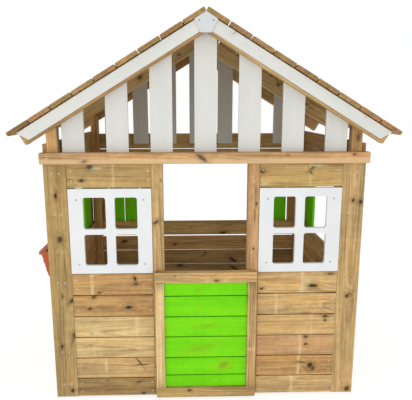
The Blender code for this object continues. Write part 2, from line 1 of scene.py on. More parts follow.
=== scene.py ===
"""The finished look of the timber playhouse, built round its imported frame.

Every board, slat, post and rail is a piece of its own, cut to the place its CAD node gives it. Each
has eased edges, slightly uneven faces and its own coordinates, which run along its grain and carry a
wood pattern of growth rings and knots. Metres, +Z up, the front faces -Y.
"""
import json
import math
import random
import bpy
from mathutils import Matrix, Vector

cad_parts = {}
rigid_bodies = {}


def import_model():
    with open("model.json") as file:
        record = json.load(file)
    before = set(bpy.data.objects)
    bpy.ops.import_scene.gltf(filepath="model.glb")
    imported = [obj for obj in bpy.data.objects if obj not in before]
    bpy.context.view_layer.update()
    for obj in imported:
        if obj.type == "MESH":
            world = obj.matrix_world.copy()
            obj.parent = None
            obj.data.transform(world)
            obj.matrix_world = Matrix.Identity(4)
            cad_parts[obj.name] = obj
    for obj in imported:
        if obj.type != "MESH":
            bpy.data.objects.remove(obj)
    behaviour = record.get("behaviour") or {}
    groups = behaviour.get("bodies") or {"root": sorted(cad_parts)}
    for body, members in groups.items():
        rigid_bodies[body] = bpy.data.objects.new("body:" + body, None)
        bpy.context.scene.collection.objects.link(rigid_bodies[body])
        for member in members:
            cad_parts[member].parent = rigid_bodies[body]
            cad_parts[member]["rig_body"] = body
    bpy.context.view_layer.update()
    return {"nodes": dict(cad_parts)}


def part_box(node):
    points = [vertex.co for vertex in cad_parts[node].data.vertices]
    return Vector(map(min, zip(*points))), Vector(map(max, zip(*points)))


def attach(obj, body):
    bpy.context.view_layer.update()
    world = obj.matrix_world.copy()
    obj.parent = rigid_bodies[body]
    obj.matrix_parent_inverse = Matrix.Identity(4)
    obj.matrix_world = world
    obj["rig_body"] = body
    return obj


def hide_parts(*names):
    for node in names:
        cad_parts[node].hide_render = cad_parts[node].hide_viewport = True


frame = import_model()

from types import SimpleNamespace

import bmesh
import bpy
from mathutils import Matrix, Vector, noise

# Stock sizes and spacings that the frame's boxes don't give.
GAP = 0.0003
BOARD_T = 0.016
BOARD_W = 0.090
POST = 0.045
WALL_FOOT = 0.0025
FRONT_W = 0.093
FRONT_PITCH = 0.0966
FRONT_TOP = 0.568
HEADER_FOOT = 0.9365
SIDE_BOARDS = 5
SIDE_PITCH = 0.0935
HEADER_PITCH = 0.0935
SIDE_TOP = 0.458
SILL = 0.556
UPRIGHT = 0.025
SIDE_UPRIGHT_STARTS = (0.0455, 0.2065)
BACK_UPRIGHT_IN = 0.314
SLOPE = math.radians(31.05)
SLAT_W = 0.0965
SLAT_PITCH = 0.1005
SLATS = 9
RAFTER_DEPTH = 0.060
RAFTER_LENGTH = 0.868
MID_RAFTER_SEAT = 1.150
MID_RAFTER_END = 0.700
BARGE_WIDTH = 0.047
BARGE_DROP = 0.0048
BARGE_HEEL_DROP = 0.048
BACK_GABLE_PITCH = 0.1695
BACK_GABLE_SHIFT = -0.008
BACK_GABLE_FOOT = 1.040
DOOR_JOINTS = (0.112, 0.195, 0.291, 0.383, 0.476)
DOOR_JOINT_GAP = 0.004
BRACE_W = 0.045
BRACE_X = 0.120

SIDES = {"left": -1, "right": 1}
X_AXIS = Vector((1, 0, 0))
Y_AXIS = Vector((0, 1, 0))
Z_AXIS = Vector((0, 0, 1))


def rgb(red, green, blue):
    """A display colour, 0 to 255 a channel, as linear light."""
    def linear(value):
        share = value / 255
        return share / 12.92 if share <= 0.04045 else ((share + 0.055) / 1.055) ** 2.4

    return (linear(red), linear(green), linear(blue), 1.0)


def scaled(colour, factor):
    """A linear colour made lighter or darker."""
    return (*(channel * factor for channel in colour[:3]), 1.0)


# ---------------------------------------------------------------------------------------------
# Node trees
# ---------------------------------------------------------------------------------------------


class Tree:
    """A material's or a group's nodes, with one short method for each kind the looks need."""

    def __init__(self, node_tree):
        self.nodes = node_tree.nodes
        self.links = node_tree.links

    def add(self, kind, **settings):
        node = self.nodes.new("ShaderNode" + kind)
        for name, value in settings.items():
            setattr(node, name, value)
        return node

    def feed(self, socket, value):
        """Link a socket to another one's value, or set it to a constant."""
        if isinstance(value, bpy.types.NodeSocket):
            self.links.new(value, socket)
        elif value is not None:
            socket.default_value = value

    def set(self, node, **inputs):
        """Feed a node's inputs by name, and give its outputs. An underscore stands for a space."""
        for name, value in inputs.items():
            self.feed(node.inputs[name.replace("_", " ")], value)
        return node.outputs

    def math(self, operation, first, second=None, third=None, clamp=False):
        node = self.add("Math", operation=operation, use_clamp=clamp)
        for socket, value in zip(node.inputs, (first, second, third)):
            self.feed(socket, value)
        return node.outputs[0]

    def vector(self, operation, first, second=None):
        node = self.add("VectorMath", operation=operation)
        self.feed(node.inputs[0], first)
        self.feed(node.inputs[1], second)
        return node.outputs["Value" if operation in ("LENGTH", "DISTANCE") else "Vector"]

    def combine(self, x, y, z):
        node = self.add("CombineXYZ")
        for socket, value in zip(node.inputs, (x, y, z)):
            self.feed(socket, value)
        return node.outputs[0]

    def split(self, vector):
        node = self.add("SeparateXYZ")
        self.feed(node.inputs[0], vector)
        return node.outputs

    def noise(self, vector, scale=1.0, detail=2.0, roughness=0.5, distortion=0.0, colour=False):
        outputs = self.set(
            self.add("TexNoise"), Vector=vector, Scale=scale, Detail=detail, Roughness=roughness,
            Distortion=distortion,
        )
        return outputs[1 if colour else 0]

    def line_noise(self, value):
        """Noise along one number."""
        return self.set(self.add("TexNoise", noise_dimensions="1D"), W=value, Scale=1.0, Detail=1.0)[0]

    def remap(self, value, low, high, to_low=0.0, to_high=1.0, smooth=True):
        node = self.add("MapRange", interpolation_type="SMOOTHSTEP" if smooth else "LINEAR")
        return self.set(node, Value=value, From_Min=low, From_Max=high, To_Min=to_low, To_Max=to_high)[0]

    def mix(self, factor, first, second, blend="MIX"):
        node = self.add("Mix", data_type="RGBA", blend_type=blend, clamp_factor=True)
        self.feed(node.inputs[0], factor)
        self.feed(node.inputs[6], first)
        self.feed(node.inputs[7], second)
        return node.outputs[2]

    def use(self, group, **inputs):
        return self.set(self.add("Group", node_tree=group), **inputs)

    def attribute(self, name, output="Fac"):
        node = self.add("Attribute", attribute_type="GEOMETRY", attribute_name=name)
        return node.outputs[output]

    def bump(self, height, strength, distance):
        return self.set(self.add("Bump"), Height=height, Strength=strength, Distance=distance)[0]


def new_material(name):
    """A node material, with its tree and its Principled shader."""
    material = bpy.data.materials.new(name)
    material.use_nodes = True
    return material, Tree(material.node_tree), material.node_tree.nodes["Principled BSDF"]


FLOAT = "NodeSocketFloat"
VECTOR = "NodeSocketVector"
COLOUR = "NodeSocketColor"


def new_group(name, inputs, outputs):
    """An empty node group: its tree, its input sockets by name, and its output node."""
    group = bpy.data.node_groups.new(name, "ShaderNodeTree")
    for label, kind in inputs:
        group.interface.new_socket(label, in_out="INPUT", socket_type=kind)
    for label, kind in outputs:
        group.interface.new_socket(label, in_out="OUTPUT", socket_type=kind)
    tree = Tree(group)
    entry = group.nodes.new("NodeGroupInput")
    leave = group.nodes.new("NodeGroupOutput")
    return group, tree, entry.outputs, leave.inputs


def ring_group():
    """Growth rings round a pith that runs beside the board, with fibres and uneven colour.

    Grain holds (along, across, through) in metres. Swell pushes the rings aside, as a knot does.
    """
    group, tree, given, result = new_group(
        "growth rings",
        [("Grain", VECTOR), ("Swell", FLOAT), ("Seed", FLOAT), ("Pith Across", FLOAT), ("Pith Below", FLOAT),
         ("Spacing", FLOAT), ("Light", COLOUR), ("Dark", COLOUR), ("Tint", COLOUR), ("Tint Amount", FLOAT),
         ("Contrast", FLOAT), ("Slope", FLOAT)],
        [("Color", COLOUR), ("Height", FLOAT)],
    )
    along, across, through = tree.split(given["Grain"])[:3]
    offset = tree.math("MULTIPLY", given["Seed"], 17.31)

    def stretched(lengthways, crossways):
        """Noise coordinates drawn out along the grain."""
        return tree.combine(
            tree.math("MULTIPLY_ADD", along, lengthways, offset),
            tree.math("MULTIPLY_ADD", across, crossways, offset),
            tree.math("MULTIPLY", through, crossways),
        )

    def shaded(colour, pattern, depth):
        """The colour made lighter and darker by a pattern, in keeping with the contrast."""
        swing = tree.math("MULTIPLY", given["Contrast"], depth)
        factor = tree.math("MULTIPLY_ADD", tree.math("SUBTRACT", pattern, 0.5), swing, 1.0)
        return tree.mix(1.0, colour, factor, blend="MULTIPLY")

    drift = tree.split(tree.noise(stretched(0.9, 3.0), detail=1.0, colour=True))
    sideways = tree.math("MULTIPLY_ADD", tree.math("SUBTRACT", drift[0], 0.5), 0.020, across)
    depth = tree.math("MULTIPLY_ADD", tree.math("SUBTRACT", drift[1], 0.5), 0.012, through)
    depth = tree.math("MULTIPLY_ADD", along, given["Slope"], depth)
    sideways = tree.math("SUBTRACT", sideways, given["Pith Across"])
    depth = tree.math("ADD", depth, given["Pith Below"])
    radius = tree.math("SQRT", tree.math(
        "ADD", tree.math("MULTIPLY", sideways, sideways), tree.math("MULTIPLY", depth, depth)
    ))
    ripple = tree.noise(stretched(8.0, 45.0), detail=2.0)
    radius = tree.math("MULTIPLY_ADD", ripple, 0.004, radius)
    radius = tree.math("ADD", radius, given["Swell"])
    rings = tree.math("DIVIDE", radius, given["Spacing"])
    rings = tree.math("ADD", rings, tree.math(
        "MULTIPLY", tree.line_noise(tree.math("MULTIPLY_ADD", radius, 150.0, offset)), 1.4
    ))
    phase = tree.math("FRACT", rings)
    late = tree.math(
        "MULTIPLY", tree.remap(phase, 0.30, 0.86), tree.remap(phase, 0.90, 1.0, 1.0, 0.0)
    )
    which = tree.add("TexWhiteNoise", noise_dimensions="1D")
    tree.feed(which.inputs["W"], tree.math("ADD", tree.math("FLOOR", rings), offset))
    late = tree.math("MULTIPLY", late, tree.math("MULTIPLY_ADD", which.outputs[0], 0.75, 0.35))
    streaks = tree.noise(stretched(3.5, 95.0), detail=4.0, roughness=0.62)
    fibres = tree.noise(stretched(30.0, 900.0), detail=2.0)
    late_share = tree.math("MULTIPLY", late, 0.50)
    darkness = tree.math("MULTIPLY_ADD", tree.remap(streaks, 0.38, 0.70), 0.58, late_share)
    darkness = tree.math("MULTIPLY", darkness, given["Contrast"], clamp=True)
    colour = tree.mix(darkness, given["Light"], given["Dark"])
    colour = shaded(colour, tree.noise(stretched(2.2, 15.0), detail=3.0), 1.1)
    colour = shaded(colour, tree.noise(given["Grain"], scale=32.0, detail=4.0, roughness=0.7), 0.7)
    colour = shaded(colour, fibres, 0.5)
    warm = tree.remap(tree.noise(stretched(2.4, 23.0), detail=2.0), 0.47, 0.70, 0.0, 0.55)
    russet = tree.mix(1.0, colour, (1.08, 0.86, 0.70, 1.0), blend="MULTIPLY")
    colour = tree.mix(tree.math("MULTIPLY", warm, given["Contrast"]), colour, russet)
    washes = tree.remap(tree.noise(stretched(3.1, 19.0), detail=3.0), 0.45, 0.70)
    colour = tree.mix(tree.math("MULTIPLY", washes, given["Tint Amount"]), colour, given["Tint"])
    height = tree.math("MULTIPLY_ADD", late, 0.55, tree.math("MULTIPLY", fibres, 0.45))
    tree.feed(result["Color"], colour)
    tree.feed(result["Height"], height)
    return group


def knot_field_group():
    """How far a point lies from a knot, in knot radii, and how far the knot pushes the rings aside."""
    group, tree, given, result = new_group(
        "knot field",
        [("Grain", VECTOR), ("Centre", VECTOR), ("Length", FLOAT), ("Width", FLOAT), ("Turn", FLOAT)],
        [("Distance", FLOAT), ("Swell", FLOAT)],
    )
    local = tree.vector("SUBTRACT", given["Grain"], given["Centre"])
    along, across = tree.split(local)[:2]
    cosine = tree.math("COSINE", given["Turn"])
    sine = tree.math("SINE", given["Turn"])
    long_way = tree.math("ADD", tree.math("MULTIPLY", along, cosine), tree.math("MULTIPLY", across, sine))
    wide_way = tree.math(
        "SUBTRACT", tree.math("MULTIPLY", across, cosine), tree.math("MULTIPLY", along, sine)
    )
    flat = tree.combine(
        tree.math("DIVIDE", long_way, given["Length"]), tree.math("DIVIDE", wide_way, given["Width"]), 0.0
    )
    distance = tree.vector("LENGTH", flat)
    ragged = tree.noise(tree.vector("ADD", flat, given["Centre"]), scale=1.1, detail=4.0, roughness=0.62)
    distance = tree.math("MULTIPLY_ADD", tree.math("SUBTRACT", ragged, 0.5), 1.5, distance)
    fall = tree.math("POWER", 2.718, tree.math("MULTIPLY", tree.math("MULTIPLY", distance, distance), -0.22))
    tree.feed(result["Distance"], distance)
    tree.feed(result["Swell"], tree.math("MULTIPLY", fall, tree.math("MULTIPLY", given["Width"], 1.5)))
    return group


def knot_paint_group():
    """A knot over the wood's colour: a wide warm halo round a heart that darkens inwards."""
    group, tree, given, result = new_group(
        "knot paint",
        [("Color", COLOUR), ("Distance", FLOAT), ("Heart", COLOUR), ("Core", COLOUR), ("Depth", FLOAT)],
        [("Color", COLOUR)],
    )
    distance = given["Distance"]
    halo = tree.math("MULTIPLY", tree.remap(distance, 0.7, 3.2, 0.45, 0.0), given["Depth"])
    colour = tree.mix(halo, given["Color"], given["Heart"])
    heart = tree.mix(tree.remap(distance, 0.25, 1.05, 0.95, 0.3), given["Heart"], given["Core"])
    inside = tree.math("MULTIPLY", tree.remap(distance, 0.65, 1.30, 1.0, 0.0), given["Depth"])
    tree.feed(result["Color"], tree.mix(inside, colour, heart))
    return group


RINGS = ring_group()
KNOT_FIELD = knot_field_group()
KNOT_PAINT = knot_paint_group()


def finish_of(light, dark, heart, core, tint, **looks):
    """How a kind of timber looks: its two ring colours, its knots, its stain and its surface."""
    usual = dict(
        tint_amount=0.25, contrast=1.0, roughness=0.62, specular=0.25, relief=1.0, end_shade=0.62, slot="wood"
    )
    return SimpleNamespace(light=light, dark=dark, heart=heart, core=core, tint=tint, **{**usual, **looks})


def treated_pine(red, green, blue, tint_amount=0.25, contrast=1.0):
    """Pressure-treated pine of one overall colour."""
    tone = rgb(red, green, blue)
    return finish_of(
        light=(tone[0] * 1.07, tone[1] * 1.10, tone[2] * 1.10, 1.0),
        dark=(tone[0] * 0.50, tone[1] * 0.45, tone[2] * 0.37, 1.0),
        heart=rgb(104, 80, 44),
        core=rgb(38, 30, 18),
        tint=rgb(158, 140, 84),
        tint_amount=tint_amount,
        contrast=contrast,
    )


OLIVE = treated_pine(182, 150, 96, tint_amount=0.55)
BROWN = treated_pine(184, 144, 92, tint_amount=0.20)
HONEY = treated_pine(202, 172, 119, tint_amount=0.30, contrast=0.85)
TAN = treated_pine(194, 160, 109, tint_amount=0.30)
RUSSET = treated_pine(192, 150, 104, tint_amount=0.10)
UMBER = treated_pine(150, 120, 76, tint_amount=0.35)
MOSS = treated_pine(166, 137, 88, tint_amount=0.40)
SAND = treated_pine(184, 152, 104, tint_amount=0.30)
PALE = treated_pine(216, 187, 134, tint_amount=0.15, contrast=0.8)
PINES = (OLIVE, BROWN, HONEY, TAN, RUSSET, TAN, BROWN)
GREEN = finish_of(
    light=rgb(107, 202, 11), dark=rgb(92, 184, 5), heart=rgb(134, 168, 24), core=rgb(122, 146, 26),
    tint=rgb(126, 202, 16), tint_amount=0.35, contrast=0.5, roughness=0.50, specular=0.10, relief=0.6,
    end_shade=0.8, slot="green_wood",
)
WHITE = finish_of(
    light=rgb(202, 203, 198), dark=rgb(188, 188, 181), heart=rgb(192, 191, 184), core=rgb(172, 171, 162),
    tint=rgb(196, 198, 193), tint_amount=0.30, contrast=0.20, roughness=0.55, specular=0.25, relief=0.5,
    end_shade=0.9, slot="white_wood",
)


STAIN_COLOUR = rgb(190, 206, 168)
BAND_COLOUR = rgb(214, 192, 148)


def band_mask(tree, along, place, half_width):
    """A strip across the board where a clamp or a spacer kept the stain off."""
    offset = tree.math("ABSOLUTE", tree.math("SUBTRACT", along, place))
    return tree.remap(offset, half_width * 0.3, half_width * 1.25, 1.0, 0.0)


def wood_material(name, finish, knots=(), bands=(), stains=(), lower=None, rng=None):
    """One board's own wood. Knots are (along, across, length, width, turn, depth), bands are
    (along, half width, strength), stains are (along, across, length, width, strength)."""
    material, tree, shader = new_material(name)
    grain = tree.attribute("grain", "Vector")
    along, across = tree.split(grain)[:2]
    fields = []
    swell = 0.0
    for place, height, length, width, turn, _ in knots:
        field = tree.use(
            KNOT_FIELD, Grain=grain, Centre=(place, height, 0.0), Length=length, Width=width, Turn=turn
        )
        fields.append(field["Distance"])
        swell = tree.math("ADD", field["Swell"], swell)
    wood = tree.use(
        RINGS, Grain=grain, Swell=swell, Seed=rng.uniform(0, 50), Pith_Across=rng.uniform(-0.03, 0.03),
        Pith_Below=rng.uniform(0.018, 0.075), Spacing=rng.uniform(0.0035, 0.0075), Light=finish.light,
        Dark=finish.dark, Tint=finish.tint, Tint_Amount=finish.tint_amount, Contrast=finish.contrast,
        Slope=rng.uniform(-0.035, 0.035),
    )
    colour = wood["Color"]
    if lower is not None:
        ragged = tree.math("MULTIPLY_ADD", tree.noise(grain, scale=12.0), 0.012, across)
        colour = tree.mix(tree.remap(ragged, -0.002, 0.010, 1.0, 0.0), colour, tree.mix(0.75, colour, lower))
    for place, height, length, width, strength in stains:
        field = tree.use(
            KNOT_FIELD, Grain=grain, Centre=(place, height, 0.0), Length=length, Width=width, Turn=0.0
        )
        mask = tree.remap(field["Distance"], 0.3, 1.2, strength, 0.0)
        colour = tree.mix(mask, colour, STAIN_COLOUR)
    mottling = tree.remap(tree.noise(grain, scale=70.0, detail=3.0), 0.35, 0.65, 0.45, 1.0)
    for place, half_width, strength in bands:
        mask = tree.math("MULTIPLY", band_mask(tree, along, place, half_width), strength)
        mask = tree.math("MULTIPLY", mask, mottling)
        colour = tree.mix(mask, colour, BAND_COLOUR)
    for (_, _, _, _, _, depth), distance in zip(knots, fields):
        colour = tree.use(
            KNOT_PAINT, Color=colour, Distance=distance, Heart=finish.heart, Core=finish.core, Depth=depth
        )["Color"]
    arris = tree.math("MULTIPLY", tree.attribute("arris"), 0.16)
    colour = tree.mix(arris, colour, scaled(finish.light, 1.25))
    shade = (finish.end_shade, finish.end_shade * 0.94, finish.end_shade * 0.88, 1.0)
    sawn = tree.mix(1.0, colour, shade, "MULTIPLY")
    colour = tree.mix(tree.attribute("end"), colour, sawn)
    rough = tree.remap(
        wood["Height"], 0.2, 0.8, finish.roughness + 0.08, finish.roughness - 0.06, smooth=False
    )
    relief = tree.bump(wood["Height"], 0.5 * finish.relief, 0.0006)
    tree.set(
        shader, Base_Color=colour, Roughness=rough, Specular_IOR_Level=finish.specular, Normal=relief
    )
    return material


def moulded_plastic(name, colour, second, roughness, speckle_scale, wear=None):
    """Moulded plastic: an uneven pigment, a fine orange peel and small scuffs."""
    material, tree, shader = new_material(name)
    where = tree.add("TexCoord").outputs["Object"]
    clouds = tree.noise(where, scale=9.0, detail=3.0)
    shown = tree.mix(tree.remap(clouds, 0.3, 0.7), colour, second)
    scuffs = tree.noise(where, scale=60.0, detail=6.0, roughness=0.75, distortion=1.5)
    scuffs = tree.remap(scuffs, 0.62, 0.80)
    shown = tree.mix(tree.math("MULTIPLY", scuffs, 0.35), shown, wear or scaled(colour, 0.86))
    rough = tree.math("MULTIPLY_ADD", scuffs, 0.22, roughness)
    peel = tree.bump(tree.noise(where, scale=speckle_scale, detail=3.0), 0.15, 0.0004)
    tree.set(shader, Base_Color=shown, Roughness=rough, Specular_IOR_Level=0.35, Normal=peel)
    return material


def plated_steel(name, colour, roughness):
    """Zinc-plated steel: cloudy plating, fine scratches and a few dull spots."""
    material, tree, shader = new_material(name)
    where = tree.add("TexCoord").outputs["Object"]
    clouds = tree.noise(where, scale=180.0, detail=4.0)
    shown = tree.mix(tree.remap(clouds, 0.35, 0.7), colour, scaled(colour, 0.72))
    scratches = tree.noise(tree.vector("MULTIPLY", where, (4000.0, 4000.0, 300.0)), detail=2.0)
    rough = tree.remap(scratches, 0.2, 0.8, roughness - 0.08, roughness + 0.14)
    scored = tree.bump(scratches, 0.12, 0.0001)
    tree.set(shader, Base_Color=shown, Metallic=1.0, Roughness=rough, Normal=scored)
    return material


STEEL = plated_steel("zinc_steel_bright", rgb(196, 190, 176), 0.42)
# The hinges' plating is a light tan, painted light against the shade they sit in between the door and its
# posts.
HINGE_STEEL_PAINTED_LIGHT = plated_steel("zinc_steel_tan_painted_light", rgb(188, 162, 112), 0.60)
DULL_STEEL = plated_steel("zinc_steel_dull", rgb(140, 142, 146), 0.45)
WHITE_PLASTIC = moulded_plastic("white_plate_plastic", rgb(212, 214, 213), rgb(207, 209, 210), 0.34, 420.0)
# The ridge plates are the same white plastic as the window plates, made darker as painted shade.
APEX_PLASTIC_PAINTED_SHADE = moulded_plastic("white_plate_plastic_painted_shade", rgb(194, 197, 198), rgb(188, 191, 193), 0.40, 420.0)
TERRACOTTA = moulded_plastic(
    "terracotta_plastic", rgb(186, 86, 44), rgb(174, 77, 38), 0.50, 300.0, wear=rgb(204, 112, 72)
)


# ---------------------------------------------------------------------------------------------
# Pieces
# ---------------------------------------------------------------------------------------------


def placed(centre, along, across):
    """The place of a board whose grain runs along one direction and its width across another."""
    first = Vector(along).normalized()
    second = Vector(across).normalized()
    turn = Matrix((first, second, first.cross(second))).transposed()
    return Matrix.Translation(centre) @ turn.to_4x4()


def rectangle(length, width):
    return [
        (-length / 2, -width / 2), (length / 2, -width / 2), (length / 2, width / 2), (-length / 2, width / 2)
    ]


def add_to_frame(piece, node, stands_for=True):
    """The piece rides on its node's body, and stands for the node unless it only adds to it."""
    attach(piece, frame["nodes"][node]["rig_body"])
    if stands_for:
        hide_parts(node)
    return piece


def mesh_from(name, bm):
    """The finished mesh of a bmesh, which is then freed."""
    mesh = bpy.data.meshes.new(name)
    bm.to_mesh(mesh)
    bm.free()
    return mesh


def skin(bm, loops):
    """Faces between loops of as many points each, and a cap on the first and the last."""
    rings = [[bm.verts.new(point) for point in loop] for loop in loops]
    for first, second in zip(rings, rings[1:]):
        for i in range(len(first)):
            j = (i + 1) % len(first)
            bm.faces.new((first[i], first[j], second[j], second[i]))
    bm.faces.new(reversed(rings[0]))
    bm.faces.new(rings[-1])


def new_object(name, mesh, material):
    piece = bpy.data.objects.new(name, mesh)
    mesh.materials.append(material)
    bpy.context.scene.collection.objects.link(piece)
    return piece


def even_normals(piece):
    """Shade the narrow rounded edges softly and leave the broad faces flat."""
    piece.data.shade_smooth()
    piece.modifiers.new("Even", "WEIGHTED_NORMAL")


def ease_edges(bm, ease, end_ease):
    """Round the long arrises, then take the sharpness off the sawn ends."""
    long_edges = [
        edge for edge in bm.edges
        if abs((edge.verts[1].co - edge.verts[0].co).normalized().x) > math.cos(math.radians(45))
    ]
    bmesh.ops.bevel(
        bm, geom=long_edges, offset=ease, offset_type="OFFSET", segments=3, profile=0.5, affect="EDGES",
        clamp_overlap=True,
    )
    bm.normal_update()
    ends = {face for face in bm.faces if is_end(face)}
    end_edges = {edge for face in ends for edge in face.edges}
    bmesh.ops.bevel(
        bm, geom=list(end_edges), offset=end_ease, offset_type="OFFSET", segments=1, profile=0.5,
        affect="EDGES", clamp_overlap=True,
    )
    bm.normal_update()


def is_end(face):
    """A sawn end, square or slanting."""
    return abs(face.normal.x) > 0.45 and abs(face.normal.z) < 0.05


def on_flat(face):
    """One of the board's broad faces, edges or sawn ends, and not a rounded arris."""
    return is_end(face) or max(abs(face.normal.y), abs(face.normal.z)) > 0.985


SLICE = 0.06


def slice_along(bm):
    """Cut the board's faces across at even steps, so that it can be a little uneven."""
    low = min(vert.co.x for vert in bm.verts)
    high = max(vert.co.x for vert in bm.verts)
    count = max(2, round((high - low) / SLICE))
    for i in range(1, count):
        where = low + (high - low) * i / count
        bmesh.ops.bisect_plane(
            bm, geom=[*bm.verts, *bm.edges, *bm.faces], plane_co=(where, 0, 0), plane_no=(1, 0, 0), dist=1e-6
        )


def uneven(point, seed, amount):
    """A point of a planed board that isn't quite true."""
    wander = noise.noise(Vector((point.x * 4.0, seed, 0.3)))
    bow = noise.noise(Vector((point.x * 4.0, seed, 7.7)))
    ripple = noise.noise(Vector((point.x * 30.0, point.y * 30.0, seed)))
    return Vector((point.x, point.y + amount * wander, point.z + amount * (bow + 0.4 * ripple)))


def timber(name, node, place, outline, thickness, finish, ease=0.003, end_ease=0.0008, amount=0.0003,
           stands_for=True, **looks):
    """One board: an outline in its own (along, across) plane, as thick as given."""
    rng = random.Random(name)
    seed = rng.uniform(0, 100)
    bm = bmesh.new()
    lower = [bm.verts.new((u, v, -thickness / 2)) for u, v in outline]
    upper = [bm.verts.new((u, v, thickness / 2)) for u, v in outline]
    bm.faces.new(reversed(lower))
    bm.faces.new(upper)
    count = len(outline)
    for i in range(count):
        j = (i + 1) % count
        bm.faces.new((lower[i], lower[j], upper[j], upper[i]))
    bmesh.ops.recalc_face_normals(bm, faces=bm.faces)
    ease_edges(bm, ease, end_ease)
    slice_along(bm)
    bm.normal_update()
    ends = [1.0 if any(is_end(face) for face in vert.link_faces) else 0.0 for vert in bm.verts]
    arrises = [0.0 if any(on_flat(face) for face in vert.link_faces) else 1.0 for vert in bm.verts]
    grains = [tuple(vert.co) for vert in bm.verts]
    for vert in bm.verts:
        vert.co = place @ uneven(vert.co, seed, amount)
    mesh = mesh_from(name, bm)
    mesh.attributes.new("grain", "FLOAT_VECTOR", "POINT").data.foreach_set(
        "vector", [value for grain in grains for value in grain]
    )
    mesh.attributes.new("end", "FLOAT", "POINT").data.foreach_set("value", ends)
    mesh.attributes.new("arris", "FLOAT", "POINT").data.foreach_set("value", arrises)
    length = max(u for u, _ in outline) - min(u for u, _ in outline)
    width = max(v for _, v in outline) - min(v for _, v in outline)
    if "knots" not in looks:
        looks["knots"] = chance_knots(rng, length, width)
    piece = new_object(name, mesh, wood_material(f"{name}_wood", finish, rng=rng, **looks))
    even_normals(piece)
    return add_to_frame(piece, node, stands_for)


def chance_knots(rng, length, width):
    """A few knots for a board that has none set by hand."""
    knots = []
    for _ in range(rng.choice((0, 1, 1, 2)) + int(length / 0.45)):
        size = rng.uniform(0.004, 0.011)
        knots.append((
            rng.uniform(-0.46, 0.46) * length, rng.uniform(-0.42, 0.42) * width, size * rng.uniform(1.1, 2.0),
            size, rng.uniform(-0.5, 0.5), rng.uniform(0.55, 1.0),
        ))
    return knots


def mm(*values):
    """Millimetres as metres."""
    return tuple(value / 1000 for value in values)


def knot(along, across, length, width, turn=0.0, depth=1.0):
    """A knot's half-sizes and place on its board in millimetres, its turn in degrees."""
    return (*mm(along, across, length, width), math.radians(turn), depth)


def band(along, half_width=8.0, strength=0.55):
    return (*mm(along, half_width), strength)


def stain(along, across, length, width, strength=0.7):
    return (*mm(along, across, length, width), strength)


def box_board(name, node, low, high, along, finish, **looks):
    """A square-ended board between two corners, its grain along the given axis."""
    low, high = Vector(map(min, low, high)), Vector(map(max, low, high))
    size = high - low
    others = [axis for axis in range(3) if axis != along]
    across = max(others, key=lambda axis: (round(size[axis], 4), -axis))
    through = next(axis for axis in others if axis != across)
    directions = (X_AXIS, Y_AXIS, Z_AXIS)
    place = placed((low + high) / 2, directions[along], directions[across])
    return timber(name, node, place, rectangle(size[along], size[across]), size[through], finish, **looks)


def node_board(node, along, finish, name=None, **looks):
    """The board that fills a node's box."""
    low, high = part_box(node)
    return box_board(name or f"{node}_timber", node, low, high, along, finish, **looks)


# ---------------------------------------------------------------------------------------------
# Fasteners
# ---------------------------------------------------------------------------------------------

HEAD_R = 0.0037
PLATE_HEAD_R = 0.0034
APEX_HEAD_R = 0.0036
SCREW_STEPS = 18


def screw_rings(radius):
    """(radius, height, lobed) of each ring of a countersunk head, from its rim into its recess."""
    return (
        (radius, -0.0004, 0.0),
        (radius, 0.0003, 0.0),
        (radius * 0.86, 0.0006, 0.0),
        (radius * 0.42, 0.0007, 0.22),
        (radius * 0.36, -0.0008, 0.22),
    )


def add_screw(bm, place, radius):
    """A domed countersunk head with a six-lobed recess."""
    rings = []
    for ring_radius, height, lobed in screw_rings(radius):
        ring = []
        for step in range(SCREW_STEPS):
            angle = 2 * math.pi * step / SCREW_STEPS
            reach = ring_radius * (1 + lobed * math.cos(6 * angle))
            point = Vector((reach * math.cos(angle), reach * math.sin(angle), height))
            ring.append(place @ point)
        rings.append(ring)
    skin(bm, rings)


def screws(name, node, points, outward, radius=HEAD_R, material=STEEL):
    """The screws of one group of boards, heads flush with the face that looks outward."""
    rng = random.Random(name)
    outward = Vector(outward).normalized()
    bm = bmesh.new()
    for point in points:
        shift = Vector((rng.uniform(-1, 1), rng.uniform(-1, 1), rng.uniform(-1, 1))) * 0.0012
        shift -= outward * shift.dot(outward)
        turn = outward.to_track_quat("Z", "Y").to_matrix().to_4x4()
        spin = Matrix.Rotation(rng.uniform(0, math.pi), 4, "Z")
        add_screw(bm, Matrix.Translation(Vector(point) + shift) @ turn @ spin, radius)
    mesh = mesh_from(name, bm)
    piece = new_object(name, mesh, material)
    mesh.shade_smooth()
    mesh.set_sharp_from_angle(angle=math.radians(40))
    return add_to_frame(piece, node, stands_for=False)


# ---------------------------------------------------------------------------------------------
# Front wall
# ---------------------------------------------------------------------------------------------


def courses(count, top, pitch, height=BOARD_W):
    """The (bottom, top) heights of boards that hang down from a top edge, lowest first."""
    tops = [top - i * pitch for i in reversed(range(count))]
    return [(max(high - height, WALL_FOOT), high) for high in tops]
